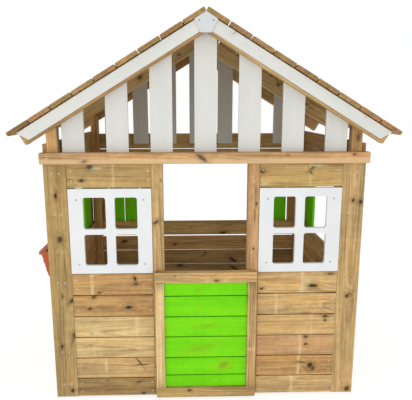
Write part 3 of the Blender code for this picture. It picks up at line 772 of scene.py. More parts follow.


# Each front board's tone and marks, lowest first. In this table and in those for the corner boards,
# posts, rail, door frame and back wall, most marks' places were measured from the photograph, and
# their sizes, turns and strengths were judged. All are in millimetres from a board's middle.
FRONT_LOOKS = {
    "left": [
        (UMBER, dict(knots=[
            knot(119, -32, 9, 5), knot(99, 22, 14, 6, 20, 0.6), knot(-40, 30, 5, 4, 0, 0.5),
        ])),
        (TAN, dict(
            knots=[
                knot(104, 26, 20, 3, -55, 0.95), knot(112, 14, 34, 2.4, 4, 0.9), knot(-140, 2, 4, 3, 0, 0.6),
            ],
            bands=[band(-43)],
        )),
        (HONEY, dict(
            knots=[knot(-108, 13, 12, 3, 10, 0.35), knot(40, -20, 4, 3, 0, 0.4)], bands=[band(-92, 7, 0.3)],
        )),
        (HONEY, dict(
            knots=[knot(-100, -30, 5, 3, 0, 0.4)], bands=[band(96)], stains=[stain(-90, -25, 30, 12, 0.25)],
        )),
        (BROWN, dict(knots=[
            knot(64, -7, 16, 8, 0, 1.0), knot(-102, -11, 8, 5, 10, 1.0), knot(-83, 42, 12, 6, 15, 0.85),
        ])),
        (BROWN, dict(
            knots=[knot(94, 25, 6, 11, 20, 1.0), knot(97, 1, 10, 6, 0, 0.8), knot(-59, -35, 8, 4, 10, 0.9)],
            bands=[band(-89, 9, 0.6)], stains=[stain(-75, 44, 25, 6, 0.35)],
        )),
        (OLIVE, dict(
            knots=[knot(-78, 35, 15, 10, 0, 0.8), knot(-112, -19, 11, 6, 10, 0.95)],
            bands=[band(17, 7, 0.4)], stains=[stain(-62, 30, 42, 8, 0.7)],
        )),
    ],
    "right": [
        (TAN, dict(knots=[knot(30, -20, 4, 3, 0, 0.4)], bands=[band(-10, 9, 0.6)])),
        (BROWN, dict(
            knots=[
                knot(71, 0, 14, 13, 30, 1.0), knot(84, -16, 10, 6, 60, 0.85), knot(28, 15, 26, 5, -6, 0.55),
            ],
            bands=[band(18)],
        )),
        (RUSSET, dict(knots=[knot(46, 39, 9, 6, 0, 0.8), knot(48, 4, 8, 6, 0, 0.9)], bands=[band(23)])),
        (TAN, dict(
            knots=[knot(128, 38, 12, 6, 0, 0.9), knot(128, 20, 6, 5, 0, 0.9)], bands=[band(68, 9, 0.4)],
        )),
        (TAN, dict(knots=[knot(40, -50, 26, 22, 0, 0.15)], bands=[band(-89)])),
        (TAN, dict(
            knots=[
                knot(68, -15, 22, 8, -3, 1.0), knot(-154, -26, 8, 6, 0, 0.9), knot(142, 38, 16, 5, 0, 0.7),
            ],
            bands=[band(21)], stains=[stain(40, -5, 24, 30, 0.3), stain(30, -42, 60, 6, 0.35)],
        )),
        (OLIVE, dict(
            knots=[knot(38, 10, 5, 7, 50, 0.7), knot(42, 26, 16, 5, 40, 0.6), knot(-160, 16, 10, 9, 0, 0.85)],
            bands=[band(36, 7, 0.3)], stains=[stain(60, 38, 36, 6, 0.5), stain(-150, -36, 24, 6, 0.4)],
        )),
    ],
}


# Screws stand in pairs, so far from a board's middle line and so far in from its ends.
PAIR_SPREAD = 0.020
FRONT_SPREAD = 0.0195
FRONT_INSETS = {"left": (0.017, 0.013), "right": (0.013, 0.017)}
SIDE_INSETS = (0.022, 0.022)
POST_INSETS = (0.036, 0.036)
RAIL_SCREW_IN = 0.030
RAIL_SCREW_RISE = 0.002
PANEL_SCREW_IN = 0.016
PANEL_SPREAD = 0.024
SLAT_SCREW_IN = 0.055
SLAT_SPREAD = 0.022
GABLE_FOOT_SPREAD = 0.028
GABLE_TOP_SPREAD = 0.026
GABLE_SCREW_UP = 0.018
GABLE_SCREW_DOWN = 0.022
BRACE_SPREAD = 0.018


def end_pairs(low, high, face, along, across, inset, spread):
    """Screw points in pairs at both ends of a board, as (along, across) places on its face."""
    start, end = low[along], high[along]
    middle = (low[across] + high[across]) / 2
    points = []
    for place in (start + inset[0], end - inset[1]):
        for height in (middle - spread, middle + spread):
            point = [0.0, 0.0, 0.0]
            point[along] = place
            point[across] = height
            point[3 - along - across] = face
            points.append(point)
    return points


def build_front_wall():
    """Corner boards, boarded bays with their battens, and the rail over them."""
    for side, sign in SIDES.items():
        node = f"front_wall_{side}"
        low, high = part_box(node)
        bay_low, bay_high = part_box(f"front_window_{side}")
        rows = [*courses(6, FRONT_TOP, FRONT_PITCH, FRONT_W), (HEADER_FOOT, high.z)]
        points = []
        for number, ((bottom, top), (finish, looks)) in enumerate(zip(rows, FRONT_LOOKS[side]), start=1):
            drop = noise.noise(Vector((number * 3.1, sign * 5.0, 0.0))) * 0.0008
            corner = (bay_low.x, low.y, bottom + drop)
            other = (bay_high.x, low.y + BOARD_T, top + drop)
            box_board(f"{node}_board_{number}", node, corner, other, 0, finish, **looks)
            points += end_pairs(corner, other, low.y, 0, 2, FRONT_INSETS[side], FRONT_SPREAD)
        screws(f"{node}_screws", node, points, (0, -1, 0))
        inner, bay_outer = sorted((bay_low.x, bay_high.x), key=abs)
        outer = max(low.x, high.x, key=abs)
        for label, first, second in (
            ("inner", inner, inner + sign * POST), ("outer", bay_outer - sign * UPRIGHT, outer)
        ):
            corner, other = (first, low.y + BOARD_T + GAP, low.z), (second, high.y, high.z)
            box_board(f"{node}_batten_{label}", node, corner, other, 2, BROWN, ease=0.0015)
    node_board("front_top_rail", 0, RUSSET, ease=0.005, lower=rgb(200, 170, 127), knots=[
        knot(-17, 2, 26, 8, -38, 0.75), knot(-486, -11, 12, 5, 10, 0.6), knot(330, 12, 6, 4, 0, 0.5),
        knot(600, 14, 8, 4, 0, 0.9),
    ])
    low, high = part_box("front_top_rail")
    screws("front_top_rail_screws", "front_top_rail", [
        (x, low.y, (low.z + high.z) / 2 + RAIL_SCREW_RISE)
        for x in (low.x + RAIL_SCREW_IN, high.x - RAIL_SCREW_IN)
    ], (0, -1, 0))
    build_corner_boards()
    build_front_posts()


CORNER_LOOKS = {
    "left": dict(
        knots=[
            knot(203, 6, 15, 12, 0, 0.85), knot(387, -2, 14, 6, 0, 1.0), knot(-46, 2, 8, 5, 0, 0.7),
            knot(-64, 44, 22, 7, 45, 0.9), knot(-223, 46, 13, 9, 20, 1.0), knot(-277, -12, 10, 6, 0, 0.95),
            knot(-488, 23, 10, 8, 0, 1.0), knot(-250, 36, 34, 5, 18, 0.4),
        ],
        bands=[band(150, 8, 0.12)],
    ),
    "right": dict(
        knots=[
            knot(361, 2, 9, 6, 0, 0.9), knot(354, 33, 9, 8, 0, 1.0), knot(-59, 0, 10, 9, 0, 0.85),
            knot(-50, 14, 5, 8, 60, 0.6), knot(-500, 25, 12, 12, 0, 0.9),
        ],
        bands=[band(190, 8, 0.12)],
    ),
}
CORNER_SCREW_HEIGHTS = (0.995, 0.825, 0.530, 0.213, 0.060)
CORNER_SCREW_XS = (0.626, 0.597)


def build_corner_boards():
    """The upright boards that cover the ends of the side walls."""
    for side, sign in SIDES.items():
        node = f"front_corner_board_{side}"
        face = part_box(node)[0].y
        finish = MOSS if side == "left" else SAND
        node_board(node, 2, finish, **CORNER_LOOKS[side])
        points = [(sign * x, face, z) for z in CORNER_SCREW_HEIGHTS for x in CORNER_SCREW_XS]
        screws(f"{node}_screws", node, points, (0, -1, 0))


def build_front_posts():
    """The two posts of the doorway."""
    node_board("door_post_left", 2, TAN, ease=0.0035, knots=[
        knot(273, -8, 16, 6, 62, 0.8), knot(45, 0, 8, 7, 0, 0.8), knot(448, 14, 6, 3, 0, 0.6),
        knot(-200, 4, 5, 4, 0, 0.6),
    ])
    node_board("door_post_right", 2, RUSSET, ease=0.0035, knots=[
        knot(349, 12, 8, 4, 0, 0.9), knot(157, 3, 6, 4, 0, 0.9), knot(401, 8, 18, 4, 0, 0.4),
        knot(60, -6, 5, 4, 0, 0.4), knot(-160, 5, 5, 4, 0, 0.6),
    ])


# ---------------------------------------------------------------------------------------------
# Posts, side walls and back wall
# ---------------------------------------------------------------------------------------------


def build_corner_posts():
    for end in ("front", "back"):
        for number, side in enumerate(SIDES):
            finish = (TAN, BROWN)[number] if end == "front" else (BROWN, RUSSET)[number]
            node_board(f"corner_post_{end}_{side}", 2, finish, ease=0.0035)


def wall_rows(top, headers):
    """The (bottom, top) heights of a side or back wall's boards, with so many header boards."""
    lower = courses(SIDE_BOARDS, SIDE_TOP, SIDE_PITCH)
    return [*lower, (SILL - BOARD_W, SILL), *courses(headers, top, HEADER_PITCH)]


def build_side_walls():
    """Boards up to the sill, two header boards, and the uprights inside."""
    for side, sign in SIDES.items():
        node = f"side_wall_{side}"
        low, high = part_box(node)
        face_out = max(low.x, high.x, key=abs)
        face_in = face_out - sign * BOARD_T
        rows = wall_rows(high.z, 2)
        rng = random.Random(node)
        points = []
        for number, (bottom, top) in enumerate(rows, start=1):
            corner, other = (face_in, low.y, bottom), (face_out, high.y, top)
            box_board(f"{node}_board_{number}", node, corner, other, 1, rng.choice(PINES))
            points += end_pairs(corner, other, face_out, 1, 2, SIDE_INSETS, PAIR_SPREAD)
            for start in SIDE_UPRIGHT_STARTS:
                middle = low.y + start + UPRIGHT / 2
                for rise in (-PAIR_SPREAD, PAIR_SPREAD):
                    points.append((face_out, middle, (bottom + top) / 2 + rise))
        screws(f"{node}_screws", node, points, (sign, 0, 0))
        inner = min(low.x, high.x, key=abs)
        for number, start in enumerate(SIDE_UPRIGHT_STARTS, start=1):
            box_board(
                f"{node}_upright_{number}", node, (inner, low.y + start, low.z),
                (face_in - sign * GAP, low.y + start + UPRIGHT, high.z), 2, BROWN, ease=0.002,
            )


BACK_FINISHES = (UMBER, BROWN, UMBER, UMBER, BROWN, OLIVE, OLIVE)
BACK_LOOKS = {
    3: dict(knots=[knot(-118, 38, 22, 9, 0, 0.95), knot(228, 18, 30, 8, -25, 1.0), knot(-420, 0, 12, 8)]),
    4: dict(knots=[knot(222, -24, 30, 10, -35, 1.0), knot(40, 22, 16, 6, 60, 0.7), knot(-330, 10, 14, 10)]),
    5: dict(knots=[
        knot(-149, -10, 7, 6, 0, 1.0), knot(310, 12, 12, 8, 0, 0.8), knot(-470, 12, 20, 9, 10, 1.0),
    ]),
    6: dict(knots=[knot(154, -36, 26, 10, 12, 0.9), knot(-360, -14, 14, 7), knot(470, 10, 10, 6)]),
}


def build_back_wall():
    """Boards up to the sill and a header board, held by two uprights beside the opening."""
    node = "back_wall"
    low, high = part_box(node)
    face_in = high.y - BOARD_T + GAP
    rows = wall_rows(high.z, 1)
    points = []
    for number, (bottom, top) in enumerate(rows, start=1):
        corner, other = (low.x, face_in, bottom), (high.x, high.y, top)
        looks = BACK_LOOKS.get(number, {})
        box_board(f"{node}_board_{number}", node, corner, other, 0, BACK_FINISHES[number - 1], **looks)
        points += back_screw_points(corner, other)
    screws(f"{node}_screws", node, points, (0, 1, 0))
    for side, sign in SIDES.items():
        first = sign * BACK_UPRIGHT_IN
        box_board(
            f"{node}_upright_{side}", node, (first, low.y, low.z),
            (first + sign * UPRIGHT, face_in - GAP, high.z - BOARD_T), 2, BROWN, ease=0.002,
        )


def back_screw_points(low, high):
    """Screws into the corner posts and the two uprights of the back wall."""
    points = end_pairs(low, high, high[1], 0, 2, POST_INSETS, PAIR_SPREAD)
    middle = BACK_UPRIGHT_IN + UPRIGHT / 2
    for x in (-middle, middle):
        points += [(x, high[1], (low[2] + high[2]) / 2 + rise) for rise in (-PAIR_SPREAD, PAIR_SPREAD)]
    return points


def build_infill():
    """Green boards and plain trim boards outside the side and back walls."""
    for side, sign in SIDES.items():
        for end in ("front", "back"):
            node = f"side_panel_{end}_{side}"
            low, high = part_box(node)
            panel_boards(node, low, high, axis=1, count=2, outward=(sign, 0, 0))
        node = f"side_trim_{side}"
        low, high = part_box(node)
        node_board(node, 2, TAN)
        panel_screws(node, [(low.y + high.y) / 2], low, high, 1, (sign, 0, 0))
        node = f"back_trim_{side}"
        low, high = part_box(node)
        node_board(node, 2, BROWN)
        panel_screws(node, [(low.x + high.x) / 2], low, high, 0, (0, 1, 0))
        node = f"back_panel_{side}"
        low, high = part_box(node)
        panel_boards(node, low, high, axis=0, count=2, outward=(0, 1, 0))


def panel_boards(node, low, high, axis, count, outward):
    """The upright boards of one green panel, side by side."""
    step = (high[axis] - low[axis] - BOARD_W) / (count - 1)
    middles = []
    for number in range(count):
        corner, other = low.copy(), high.copy()
        corner[axis] = low[axis] + number * step
        other[axis] = corner[axis] + BOARD_W
        box_board(f"{node}_board_{number + 1}", node, corner, other, 2, GREEN)
        middles.append((corner[axis] + other[axis]) / 2)
    panel_screws(node, middles, low, high, axis, outward)


def panel_screws(node, middles, low, high, axis, outward):
    """Two screws near each end of each upright board."""
    through = 1 - axis
    face = max(low[through], high[through], key=abs)
    points = []
    for middle in middles:
        for z in (low.z + PANEL_SCREW_IN, high.z - PANEL_SCREW_IN):
            for shift in (-PANEL_SPREAD, PANEL_SPREAD):
                point = [0.0, 0.0, z]
                point[axis] = middle + shift
                point[through] = face
                points.append(point)
    screws(f"{node}_screws", node, points, outward)


# ---------------------------------------------------------------------------------------------
# Roof and gables
# ---------------------------------------------------------------------------------------------

RIDGE_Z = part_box("front_gable_slat_4")[1].z + 2 * GAP / math.cos(SLOPE)


def slope_direction(sign):
    """Down the slope of the roof on one side."""
    return Vector((sign * math.cos(SLOPE), 0, -math.sin(SLOPE)))


def roof_point(sign, along, below, y):
    """So far down the slope from the ridge, so far under the slats' underside."""
    outward = Vector((sign * math.sin(SLOPE), 0, math.cos(SLOPE)))
    return Vector((0, y, RIDGE_Z)) + slope_direction(sign) * along - outward * below


def under_roof(x, below=0.0):
    return RIDGE_Z - abs(x) * math.tan(SLOPE) - below / math.cos(SLOPE)


SLAT_FINISHES = {
    "left": (TAN, BROWN, OLIVE, TAN, RUSSET, TAN, OLIVE, RUSSET, UMBER),
    "right": (OLIVE, RUSSET, TAN, OLIVE, BROWN, OLIVE, TAN, RUSSET, BROWN),
}


def build_roof():
    """Nine slats a side, their middle rafter, and the rafter pairs at the front and back."""
    for side, sign in SIDES.items():
        node = f"roof_deck_{side}"
        low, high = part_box(node)
        length = high.y - low.y
        points = []
        for i in range(SLATS):
            middle = GAP + i * SLAT_PITCH + SLAT_W / 2
            place = placed(roof_point(sign, middle, -BOARD_T / 2, 0.0), Y_AXIS, slope_direction(sign))
            timber(
                f"{node}_slat_{i + 1}", node, place, rectangle(length, SLAT_W), BOARD_T,
                SLAT_FINISHES[side][i], end_ease=0.0015,
            )
            for y in (low.y + SLAT_SCREW_IN, 0.0, high.y - SLAT_SCREW_IN):
                for shift in (-SLAT_SPREAD, SLAT_SPREAD):
                    points.append(roof_point(sign, middle + shift, -BOARD_T, y))
        screws(f"{node}_screws", node, points, slope_direction(sign).cross(Y_AXIS) * (-sign))
        build_mid_rafter(node, sign)
        for end in ("front", "back"):
            build_rafter(f"{end}_rafter_{side}", sign, (BROWN, TAN)[side == "right"])


def sloped_outline(sign, corners, centre):
    """World (x, z) corners as (along the slope, across it) from a centre."""
    down = slope_direction(sign)
    up = Vector((sign * math.sin(SLOPE), 0, math.cos(SLOPE)))
    return [
        ((Vector((x, 0, z)) - centre).dot(down), (Vector((x, 0, z)) - centre).dot(up)) for x, z in corners
    ]


def sloped_board(name, node, sign, corners, finish, **looks):
    """A board whose face shows in the gable, given by its (x, z) corners on the right-hand side."""
    low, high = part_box(node)
    corners = [(sign * x, z) for x, z in corners]
    xs = [x for x, _ in corners]
    zs = [z for _, z in corners]
    centre = Vector(((min(xs) + max(xs)) / 2, 0, (min(zs) + max(zs)) / 2))
    outline = sloped_outline(sign, corners, centre)
    start, stop = looks.pop("span", (low.y, high.y))
    up = Vector((sign * math.sin(SLOPE), 0, math.cos(SLOPE)))
    place = placed(centre + Vector((0, (start + stop) / 2, 0)), slope_direction(sign), up)
    return timber(name, node, place, outline, stop - start, finish, **looks)


def plain_point(along, below):
    """A right-hand slope point as (x, z)."""
    point = roof_point(1, along, below, 0.0)
    return point.x, point.z


def build_rafter(node, sign, finish):
    """A rafter, plumb at the ridge and square at the eaves."""
    corners = [
        (GAP, under_roof(GAP, RAFTER_DEPTH)),
        plain_point(RAFTER_LENGTH, RAFTER_DEPTH),
        plain_point(RAFTER_LENGTH, GAP),
        (GAP, under_roof(GAP, GAP)),
    ]
    sloped_board(f"{node}_timber", node, sign, corners, finish)


def build_mid_rafter(node, sign):
    """The middle rafter, cut level at its outer end."""
    seat_x = (under_roof(0.0, RAFTER_DEPTH) - MID_RAFTER_SEAT) / math.tan(SLOPE)
    corners = [
        (GAP, under_roof(GAP, RAFTER_DEPTH)),
        (seat_x, MID_RAFTER_SEAT),
        (MID_RAFTER_END, MID_RAFTER_SEAT),
        (MID_RAFTER_END, under_roof(MID_RAFTER_END, GAP)),
        (GAP, under_roof(GAP, GAP)),
    ]
    # The pale finish is painted light: the rafter is made lighter than the shade under the slats leaves it.
    sloped_board(
        f"{node}_rafter", node, sign, corners, PALE, span=(-POST / 2, POST / 2), ease=0.002
    )


def gable_corners(centre, foot):
    """A gable slat: square at its foot, and cut to the roof slope at its top."""
    half = BOARD_W / 2
    xs = [centre + half, centre - half]
    if abs(centre) < half:
        xs.insert(1, 0.0)
    return [(centre - half, foot), (centre + half, foot), *((x, under_roof(x, 2 * GAP)) for x in xs)]


def gable_slat(name, node, centre, foot, start, stop, **looks):
    """One upright white slat, its grain upright."""
    corners = gable_corners(centre, foot)
    top = max(z for _, z in corners)
    middle = Vector((centre, (start + stop) / 2, (foot + top) / 2))
    place = placed(middle, Z_AXIS, X_AXIS)
    outline = [(z - middle.z, x - middle.x) for x, z in reversed(corners)]
    timber(name, node, place, outline, stop - start, WHITE, ease=0.002, **looks)
    return top


def build_gables():
    """Seven white slats in each gable. The back ones are lapped on a header board."""
    for number in range(1, 8):
        node = f"front_gable_slat_{number}"
        low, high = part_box(node)
        centre = (low.x + high.x) / 2
        gable_slat(f"{node}_timber", node, centre, low.z, low.y, high.y, knots=[])
        slat_screws(node, centre, low.z, high.y, 1)
    node = "back_gable"
    low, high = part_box(node)
    face = low.y + BOARD_T
    corner, other = (low.x, face + GAP, low.z), (high.x, high.y, low.z + BOARD_W)
    box_board(f"{node}_header", node, corner, other, 0, OLIVE)
    header_points = end_pairs(corner, other, high.y, 0, 2, POST_INSETS, PAIR_SPREAD)
    screws(f"{node}_header_screws", node, header_points, (0, 1, 0))
    for number in range(1, 8):
        centre = (number - 4) * BACK_GABLE_PITCH + BACK_GABLE_SHIFT
        gable_slat(f"{node}_slat_{number}", node, centre, BACK_GABLE_FOOT, low.y, face, knots=[])
        slat_screws(node, centre, BACK_GABLE_FOOT, low.y, -1, number)


def slat_screws(node, centre, foot, face, outward, number=""):
    """Two screws at the foot of a gable slat, on the face that looks outward, and two at its top."""
    top = under_roof(abs(centre) + GABLE_TOP_SPREAD) - GABLE_SCREW_DOWN
    points = [
        (centre + shift, face, height)
        for height, spread in ((foot + GABLE_SCREW_UP, GABLE_FOOT_SPREAD), (top, GABLE_TOP_SPREAD))
        for shift in (-spread, spread)
    ]
    name = f"{node}_slat_{number}_screws" if number else f"{node}_screws"
    screws(name, node, points, (0, outward, 0))


BARGE_KNOTS = {
    "left": [knot(-330, 8, 10, 3, 70, 0.5)],
    "right": [knot(-310, 4, 16, 6, 60, 0.9), knot(300, 3, 8, 4, 0, 1.0)],
}


def build_barge_boards():
    """White boards over the rafters' ends, from the ridge to the eaves."""
    for end in ("front", "back"):
        for side, sign in SIDES.items():
            node = f"barge_board_{end}_{side}"
            low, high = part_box(node)
            tip = max(abs(low.x), abs(high.x))
            heel = tip - BARGE_HEEL_DROP
            corners = [
                (GAP, under_roof(GAP, BARGE_DROP + BARGE_WIDTH)),
                (heel, under_roof(heel, BARGE_DROP + BARGE_WIDTH)),
                (tip, under_roof(tip, BARGE_DROP)),
                (GAP, under_roof(GAP, BARGE_DROP)),
            ]
            sloped_board(f"{node}_timber", node, sign, corners, WHITE, ease=0.0025, knots=BARGE_KNOTS[side])


# ---------------------------------------------------------------------------------------------
# Plates, door, planter
# ---------------------------------------------------------------------------------------------


def rounded(left, right, bottom, top, radius, steps=6):
    """A rectangle with round corners, anticlockwise."""
    centres = (
        (right - radius, bottom + radius, -math.pi / 2),
        (right - radius, top - radius, 0.0),
        (left + radius, top - radius, math.pi / 2),
        (left + radius, bottom + radius, math.pi),
    )
    points = []
    for x, z, start in centres:
        for step in range(steps + 1):
            angle = start + step * math.pi / 2 / steps
            points.append((x + radius * math.cos(angle), z + radius * math.sin(angle)))
    return points


def softened(points, radius, steps=4):
    """A convex outline with its corners rounded."""
    result = []
    count = len(points)
    for i, point in enumerate(points):
        here = Vector(point)
        before = (Vector(points[i - 1]) - here).normalized()
        after = (Vector(points[(i + 1) % count]) - here).normalized()
        half = before.angle(after) / 2
        reach = radius / math.tan(half)
        centre = here + (before + after).normalized() * (radius / math.sin(half))
        start, end = here + before * reach - centre, here + after * reach - centre
        turn = start.angle_signed(end)
        for step in range(steps + 1):
            angle = -turn * step / steps
            spun = Matrix.Rotation(angle, 2) @ start
            result.append(tuple(centre + spun))
    return result


def plate(name, node, outlines, low_y, high_y, material, edge=0.0012):
    """A flat plate that faces the front or back: outlines of (x, z), the first outside, the rest holes."""
    curve = bpy.data.curves.new(name, "CURVE")
    curve.dimensions = "2D"
    curve.fill_mode = "BOTH"
    curve.extrude = (high_y - low_y) / 2 - edge
    curve.bevel_depth = edge
    curve.bevel_resolution = 3
    curve.offset = -edge
    for outline in outlines:
        spline = curve.splines.new("POLY")
        spline.points.add(len(outline) - 1)
        for point, (x, z) in zip(spline.points, outline):
            point.co = (x, z, 0.0, 1.0)
        spline.use_cyclic_u = True
    helper = bpy.data.objects.new(name, curve)
    bpy.context.scene.collection.objects.link(helper)
    upright = Matrix.Rotation(math.pi / 2, 4, "X")
    helper.matrix_world = Matrix.Translation((0, (low_y + high_y) / 2, 0)) @ upright
    bpy.context.view_layer.update()
    graph = bpy.context.evaluated_depsgraph_get()
    mesh = bpy.data.meshes.new_from_object(helper.evaluated_get(graph))
    mesh.transform(helper.matrix_world)
    bpy.data.objects.remove(helper)
    bm = bmesh.new()
    bm.from_mesh(mesh)
    bmesh.ops.remove_doubles(bm, verts=bm.verts, dist=0.00002)
    bmesh.ops.recalc_face_normals(bm, faces=bm.faces)
    bm.to_mesh(mesh)
    bm.free()
    mesh.name = name
    piece = new_object(name, mesh, material)
    even_normals(piece)
    return add_to_frame(piece, node)


# The panes' places and sizes as shares of the window plate, and the screws' distances from its edges.
PANE_COLUMNS = (0.175, 0.555)
PANE_ROWS = (0.100, 0.532)
PANE_WIDTH = 0.27
PANE_HEIGHT = 0.367
PANE_RADIUS = 0.010
PLATE_SCREW_IN = 0.034
PLATE_SCREW_UP = 0.042
PLATE_SCREW_DOWN = 0.046


def build_windows():
    """White plates with four panes each, and the screw in each corner."""
    for side in SIDES:
        node = f"front_window_{side}"
        low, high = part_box(node)
        width, height = high.x - low.x, high.z - low.z
        outlines = [rounded(low.x, high.x, low.z, high.z, 0.002, 2)]
        for column in PANE_COLUMNS:
            for row in PANE_ROWS:
                left, bottom = low.x + column * width, low.z + row * height
                right, top = left + PANE_WIDTH * width, bottom + PANE_HEIGHT * height
                outlines.append(rounded(left, right, bottom, top, PANE_RADIUS))
        plate(f"{node}_plate", node, outlines, low.y, high.y, WHITE_PLASTIC, edge=0.0015)
        across = (low.x + PLATE_SCREW_IN, high.x - PLATE_SCREW_IN)
        up = (low.z + PLATE_SCREW_UP, high.z - PLATE_SCREW_DOWN)
        points = [(x, low.y, z) for x in across for z in up]
        screws(f"{node}_screws", node, points, (0, -1, 0), radius=PLATE_HEAD_R, material=DULL_STEEL)


APEX_FOOT = 0.021
APEX_SHOULDER_DROP = 0.030
APEX_SCREW_X = 0.027
APEX_SCREW_DROP = 0.036


def build_apex_plates():
    """Five-sided plates over the ridge, front and back."""
    for end, outward in (("front", -1), ("back", 1)):
        node = f"apex_plate_{end}"
        low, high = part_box(node)
        shoulder = RIDGE_Z - APEX_SHOULDER_DROP
        outline = [
            (-APEX_FOOT, low.z), (APEX_FOOT, low.z), (high.x, shoulder), (0.0, high.z), (low.x, shoulder)
        ]
        plate(f"{node}_plate", node, [softened(outline, 0.004)], low.y, high.y, APEX_PLASTIC_PAINTED_SHADE, edge=0.001)
        face = low.y if outward < 0 else high.y
        points = [(x, face, RIDGE_Z - APEX_SCREW_DROP) for x in (-APEX_SCREW_X, APEX_SCREW_X)]
        screws(f"{node}_screws", node, points, (0, outward, 0), radius=APEX_HEAD_R, material=DULL_STEEL)


DOOR_FRAME_LOOKS = {
    "rail_top": (0, TAN, dict(knots=[knot(45, -12, 12, 6, 0, 0.7), knot(-130, 8, 6, 4, 0, 0.4)])),
    "rail_bottom": (0, OLIVE, dict(knots=[knot(-72, 12, 10, 6, 0, 0.9)])),
    "stile_left": (2, PALE, dict(knots=[knot(180, 12, 5, 3, 0, 0.4)])),
    "stile_right": (2, TAN, dict(knots=[knot(177, -10, 9, 5, 0, 0.9)], bands=[band(-61, 9, 0.35)])),
}
DOOR_BOARD_LOOKS = (
    dict(knots=[knot(60, 0, 6, 4, 0, 0.6)]),
    dict(knots=[knot(78, 4, 26, 14, 25, 0.75), knot(110, -10, 12, 5, 10, 0.5)]),
    dict(knots=[knot(-20, -4, 60, 14, 14, 0.35)]),
    dict(knots=[knot(10, 5, 24, 6, 6, 0.4)]),
    dict(knots=[knot(-28, 10, 6, 3, 0, 0.4)]),
    dict(knots=[knot(-32, -2, 8, 4, 20, 0.4)]),
)


def build_door():
    """The half-door: a frame, six green boards, and two braces behind them."""
    for name, (along, finish, looks) in DOOR_FRAME_LOOKS.items():
        node_board(f"door_{name}", along, finish, ease=0.004, **looks)
    node = "door_infill"
    low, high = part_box(node)
    face_in = low.y + BOARD_T
    bottoms = [low.z, *(z + DOOR_JOINT_GAP / 2 for z in DOOR_JOINTS)]
    tops = [*(z - DOOR_JOINT_GAP / 2 for z in DOOR_JOINTS), high.z]
    for number, (bottom, top) in enumerate(zip(bottoms, tops), start=1):
        corner, other = (low.x, low.y, bottom), (high.x, face_in, top)
        looks = DOOR_BOARD_LOOKS[number - 1]
        box_board(f"{node}_board_{number}", node, corner, other, 0, GREEN, ease=0.002, **looks)
    for side, sign in SIDES.items():
        x = sign * BRACE_X
        box_board(
            f"{node}_brace_{side}", node, (x - BRACE_W / 2, face_in + GAP, low.z),
            (x + BRACE_W / 2, high.y, high.z), 2, BROWN,
        )
        points = []
        for bottom, top in zip(bottoms, tops):
            points += [
                (x, high.y, (bottom + top) / 2 + rise) for rise in (-BRACE_SPREAD, BRACE_SPREAD)
            ]
        screws(f"{node}_brace_{side}_screws", node, points, (0, 1, 0))


PLANTER_FOOT_X = -0.744
PLANTER_LIP = 0.012
PLANTER_LIP_HEIGHT = 0.014
PLANTER_SHELL = 0.004
PLANTER_DRAFT = 0.020
# Each rib's edges and crest, as shares of the wall's height, and how far its crest stands proud.
RIBS = ((0.22, 0.25, 0.30, 0.33), (0.62, 0.65, 0.70, 0.73))
RIB_PROUD = 0.0016


def build_planter():
    """A moulded trough: leaning walls, a rolled rim, and two shallow ribs along its front."""
    node = "planter"
    low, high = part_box(node)
    wall_high = high.z - PLANTER_LIP_HEIGHT

    def level(z, inset):
        """The trough's outline at one height, its outer wall moved in by an inset."""
        share = min(1.0, max(0.0, (z - low.z) / (wall_high - low.z)))
        outer = PLANTER_FOOT_X + (low.x + PLANTER_LIP - PLANTER_FOOT_X) * share
        lean = PLANTER_DRAFT * (1 - share)
        return rounded(
            outer + inset, high.x - inset * 0.6, low.y + lean + inset, high.y - lean - inset, 0.016, 5
        ), z

    def rim_loop(outer, inner, ends, radius, height):
        """A loop of the rim, moved in by so much at its outer side, its wall side and its ends."""
        return rounded(low.x + outer, high.x - inner, low.y + ends, high.y - ends, radius, 5), height

    rim = [
        rim_loop(0.0, 0.0, 0.0, 0.018, wall_high + 0.001),
        rim_loop(0.0, 0.0, 0.0, 0.018, high.z - 0.004),
        rim_loop(0.0012, 0.0012, 0.0012, 0.017, high.z - 0.001),
        rim_loop(0.004, 0.003, 0.004, 0.016, high.z),
        rim_loop(0.012, 0.004, 0.012, 0.014, high.z - 0.0005),
    ]
    outside = [level(low.z, 0.003), level(low.z + 0.003, 0.0)]
    for rib in RIBS:
        for share, inset in zip(rib, (0.0, -RIB_PROUD, -RIB_PROUD, 0.0)):
            outside.append(level(low.z + share * (wall_high - low.z), inset))
    outside.append(level(wall_high, 0.0))
    inside = [
        level(high.z - 0.004, 0.014), level(wall_high - 0.004, PLANTER_SHELL),
        level(low.z + 0.008, PLANTER_SHELL), level(low.z + 0.005, PLANTER_SHELL + 0.004),
    ]
    bm = bmesh.new()
    skin(bm, [[(x, y, z) for x, y in outline] for outline, z in [*outside, *rim, *inside]])
    bmesh.ops.recalc_face_normals(bm, faces=bm.faces)
    mesh = mesh_from("planter_trough", bm)
    piece = new_object("planter_trough", mesh, TERRACOTTA)
    mesh.shade_smooth()
    mesh.set_sharp_from_angle(angle=math.radians(50))
    add_to_frame(piece, node)


def dress_cad_steel():
    """The hinges and the planter's hooks keep their CAD shape and get a plated finish, the hinges' made
    lighter as painted light against the shade between the door and its posts.
    """
    for name, obj in frame["nodes"].items():
        if name.startswith(("hinge_", "planter_hook_")):
            obj.data.materials.clear()
            obj.data.materials.append(HINGE_STEEL_PAINTED_LIGHT if name.startswith("hinge_") else STEEL)


# ---------------------------------------------------------------------------------------------
# Studio
# ---------------------------------------------------------------------------------------------


# Each lamp's name, place, size, power and target.
LAMPS = (
    ("key", (-1.6, -4.5, 4.2), (4.0, 2.5), 6.0, (0.0, 0.0, 0.6)),
    ("fill", (-0.5, -6.0, 1.6), (3.0, 2.2), 60.0, (0.0, 0.0, 0.6)),
    ("low", (-0.3, -3.4, 0.35), (2.0, 0.7), 5.0, (0.0, 0.4, 1.3)),
)
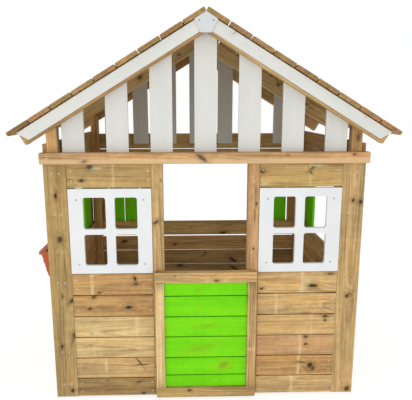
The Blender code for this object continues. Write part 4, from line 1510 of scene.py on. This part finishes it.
# Where the floor changes over from its painted shade under the house to its full glow,
# as shares of the way from the middle to the walls.
FLOOR_EDGE = (0.92, 1.04)
FLOOR_GLOW = 0.8
# The floor's glow inside the house, dimmed as painted shade under it; it still lights the inside from below.
FLOOR_GLOW_PAINTED_SHADE = 0.32


def build_studio():
    """A glowing white floor with painted shade inside the house, where its dimmer glow lights the inside
    from below, a white surround, and three lights in front.
    """
    house = Vector((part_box("side_wall_right")[1].x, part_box("back_wall")[1].y))
    bpy.ops.mesh.primitive_plane_add(size=24.0, location=(0, 0, -0.001))
    floor = bpy.context.active_object
    floor.name = "studio_floor"
    material, tree, shader = new_material("studio_floor_painted_shade")
    where = tree.add("TexCoord").outputs["Object"]
    along, across = tree.split(where)[:2]
    reach = tree.math(
        "MAXIMUM", tree.math("DIVIDE", tree.math("ABSOLUTE", along), house.x),
        tree.math("DIVIDE", tree.math("ABSOLUTE", across), house.y),
    )
    # Painted shade: inside the house's footprint the floor glows less and takes another colour.
    outside = tree.remap(reach, *FLOOR_EDGE)
    glow = tree.remap(outside, 0.0, 1.0, FLOOR_GLOW_PAINTED_SHADE, FLOOR_GLOW, smooth=False)
    clouds = tree.noise(where, scale=1.2, detail=3.0)
    paint = tree.mix(clouds, rgb(137, 137, 136), rgb(141, 141, 140))
    tree.set(
        shader, Base_Color=tree.mix(outside, rgb(205, 204, 202), paint), Emission_Color=(1.0, 1.0, 1.0, 1.0),
        Emission_Strength=glow, Roughness=0.9, Specular_IOR_Level=0.0,
    )
    floor.data.materials.append(material)

    world = bpy.data.worlds.new("studio")
    bpy.context.scene.world = world
    world.use_nodes = True
    background = world.node_tree.nodes["Background"]
    background.inputs["Color"].default_value = (1.0, 1.0, 1.0, 1.0)
    background.inputs["Strength"].default_value = 1.0
    for lamp in LAMPS:
        add_lamp(*lamp)
    bpy.context.scene.view_settings.view_transform = "Standard"


def add_lamp(name, place, size, power, target):
    """A soft rectangular light that looks at its target."""
    lamp = bpy.data.lights.new(name, "AREA")
    lamp.shape = "RECTANGLE"
    lamp.size, lamp.size_y = size
    lamp.energy = power
    light = bpy.data.objects.new(name, lamp)
    light.location = place
    light.rotation_euler = (Vector(target) - light.location).to_track_quat("-Z", "Y").to_euler()
    bpy.context.scene.collection.objects.link(light)


# The camera's focal length in millimetres, its place, and its pitch, yaw and roll in degrees.
LENS = 47.41
CAMERA_SHIFT = (0.0136, 0.0701)
CAMERA_PLACE = (-0.0886, -2.7906, 1.2606)
CAMERA_TURN = (12.723, 1.724, -0.086)


def build_camera():
    """A camera a little left of the middle and above eye height, looking slightly down."""
    data = bpy.data.cameras.new("camera")
    data.sensor_width = 36.0
    data.lens = LENS
    data.shift_x, data.shift_y = CAMERA_SHIFT
    camera = bpy.data.objects.new("camera", data)
    pitch, yaw, roll = (math.radians(angle) for angle in CAMERA_TURN)
    forward = Vector((math.sin(yaw) * math.cos(pitch), math.cos(yaw) * math.cos(pitch), -math.sin(pitch)))
    right = Vector((math.cos(yaw), -math.sin(yaw), 0.0))
    upward = right.cross(forward)
    right, upward = (
        right * math.cos(roll) + upward * math.sin(roll), upward * math.cos(roll) - right * math.sin(roll)
    )
    turn = Matrix((right, upward, -forward)).transposed()
    camera.matrix_world = Matrix.Translation(CAMERA_PLACE) @ turn.to_4x4()
    bpy.context.scene.collection.objects.link(camera)
    bpy.context.scene.camera = camera


build_camera()
build_studio()
build_front_wall()
build_corner_posts()
build_side_walls()
build_back_wall()
build_infill()
build_roof()
build_gables()
build_barge_boards()
build_windows()
build_apex_plates()
build_door()
build_planter()
dress_cad_steel()
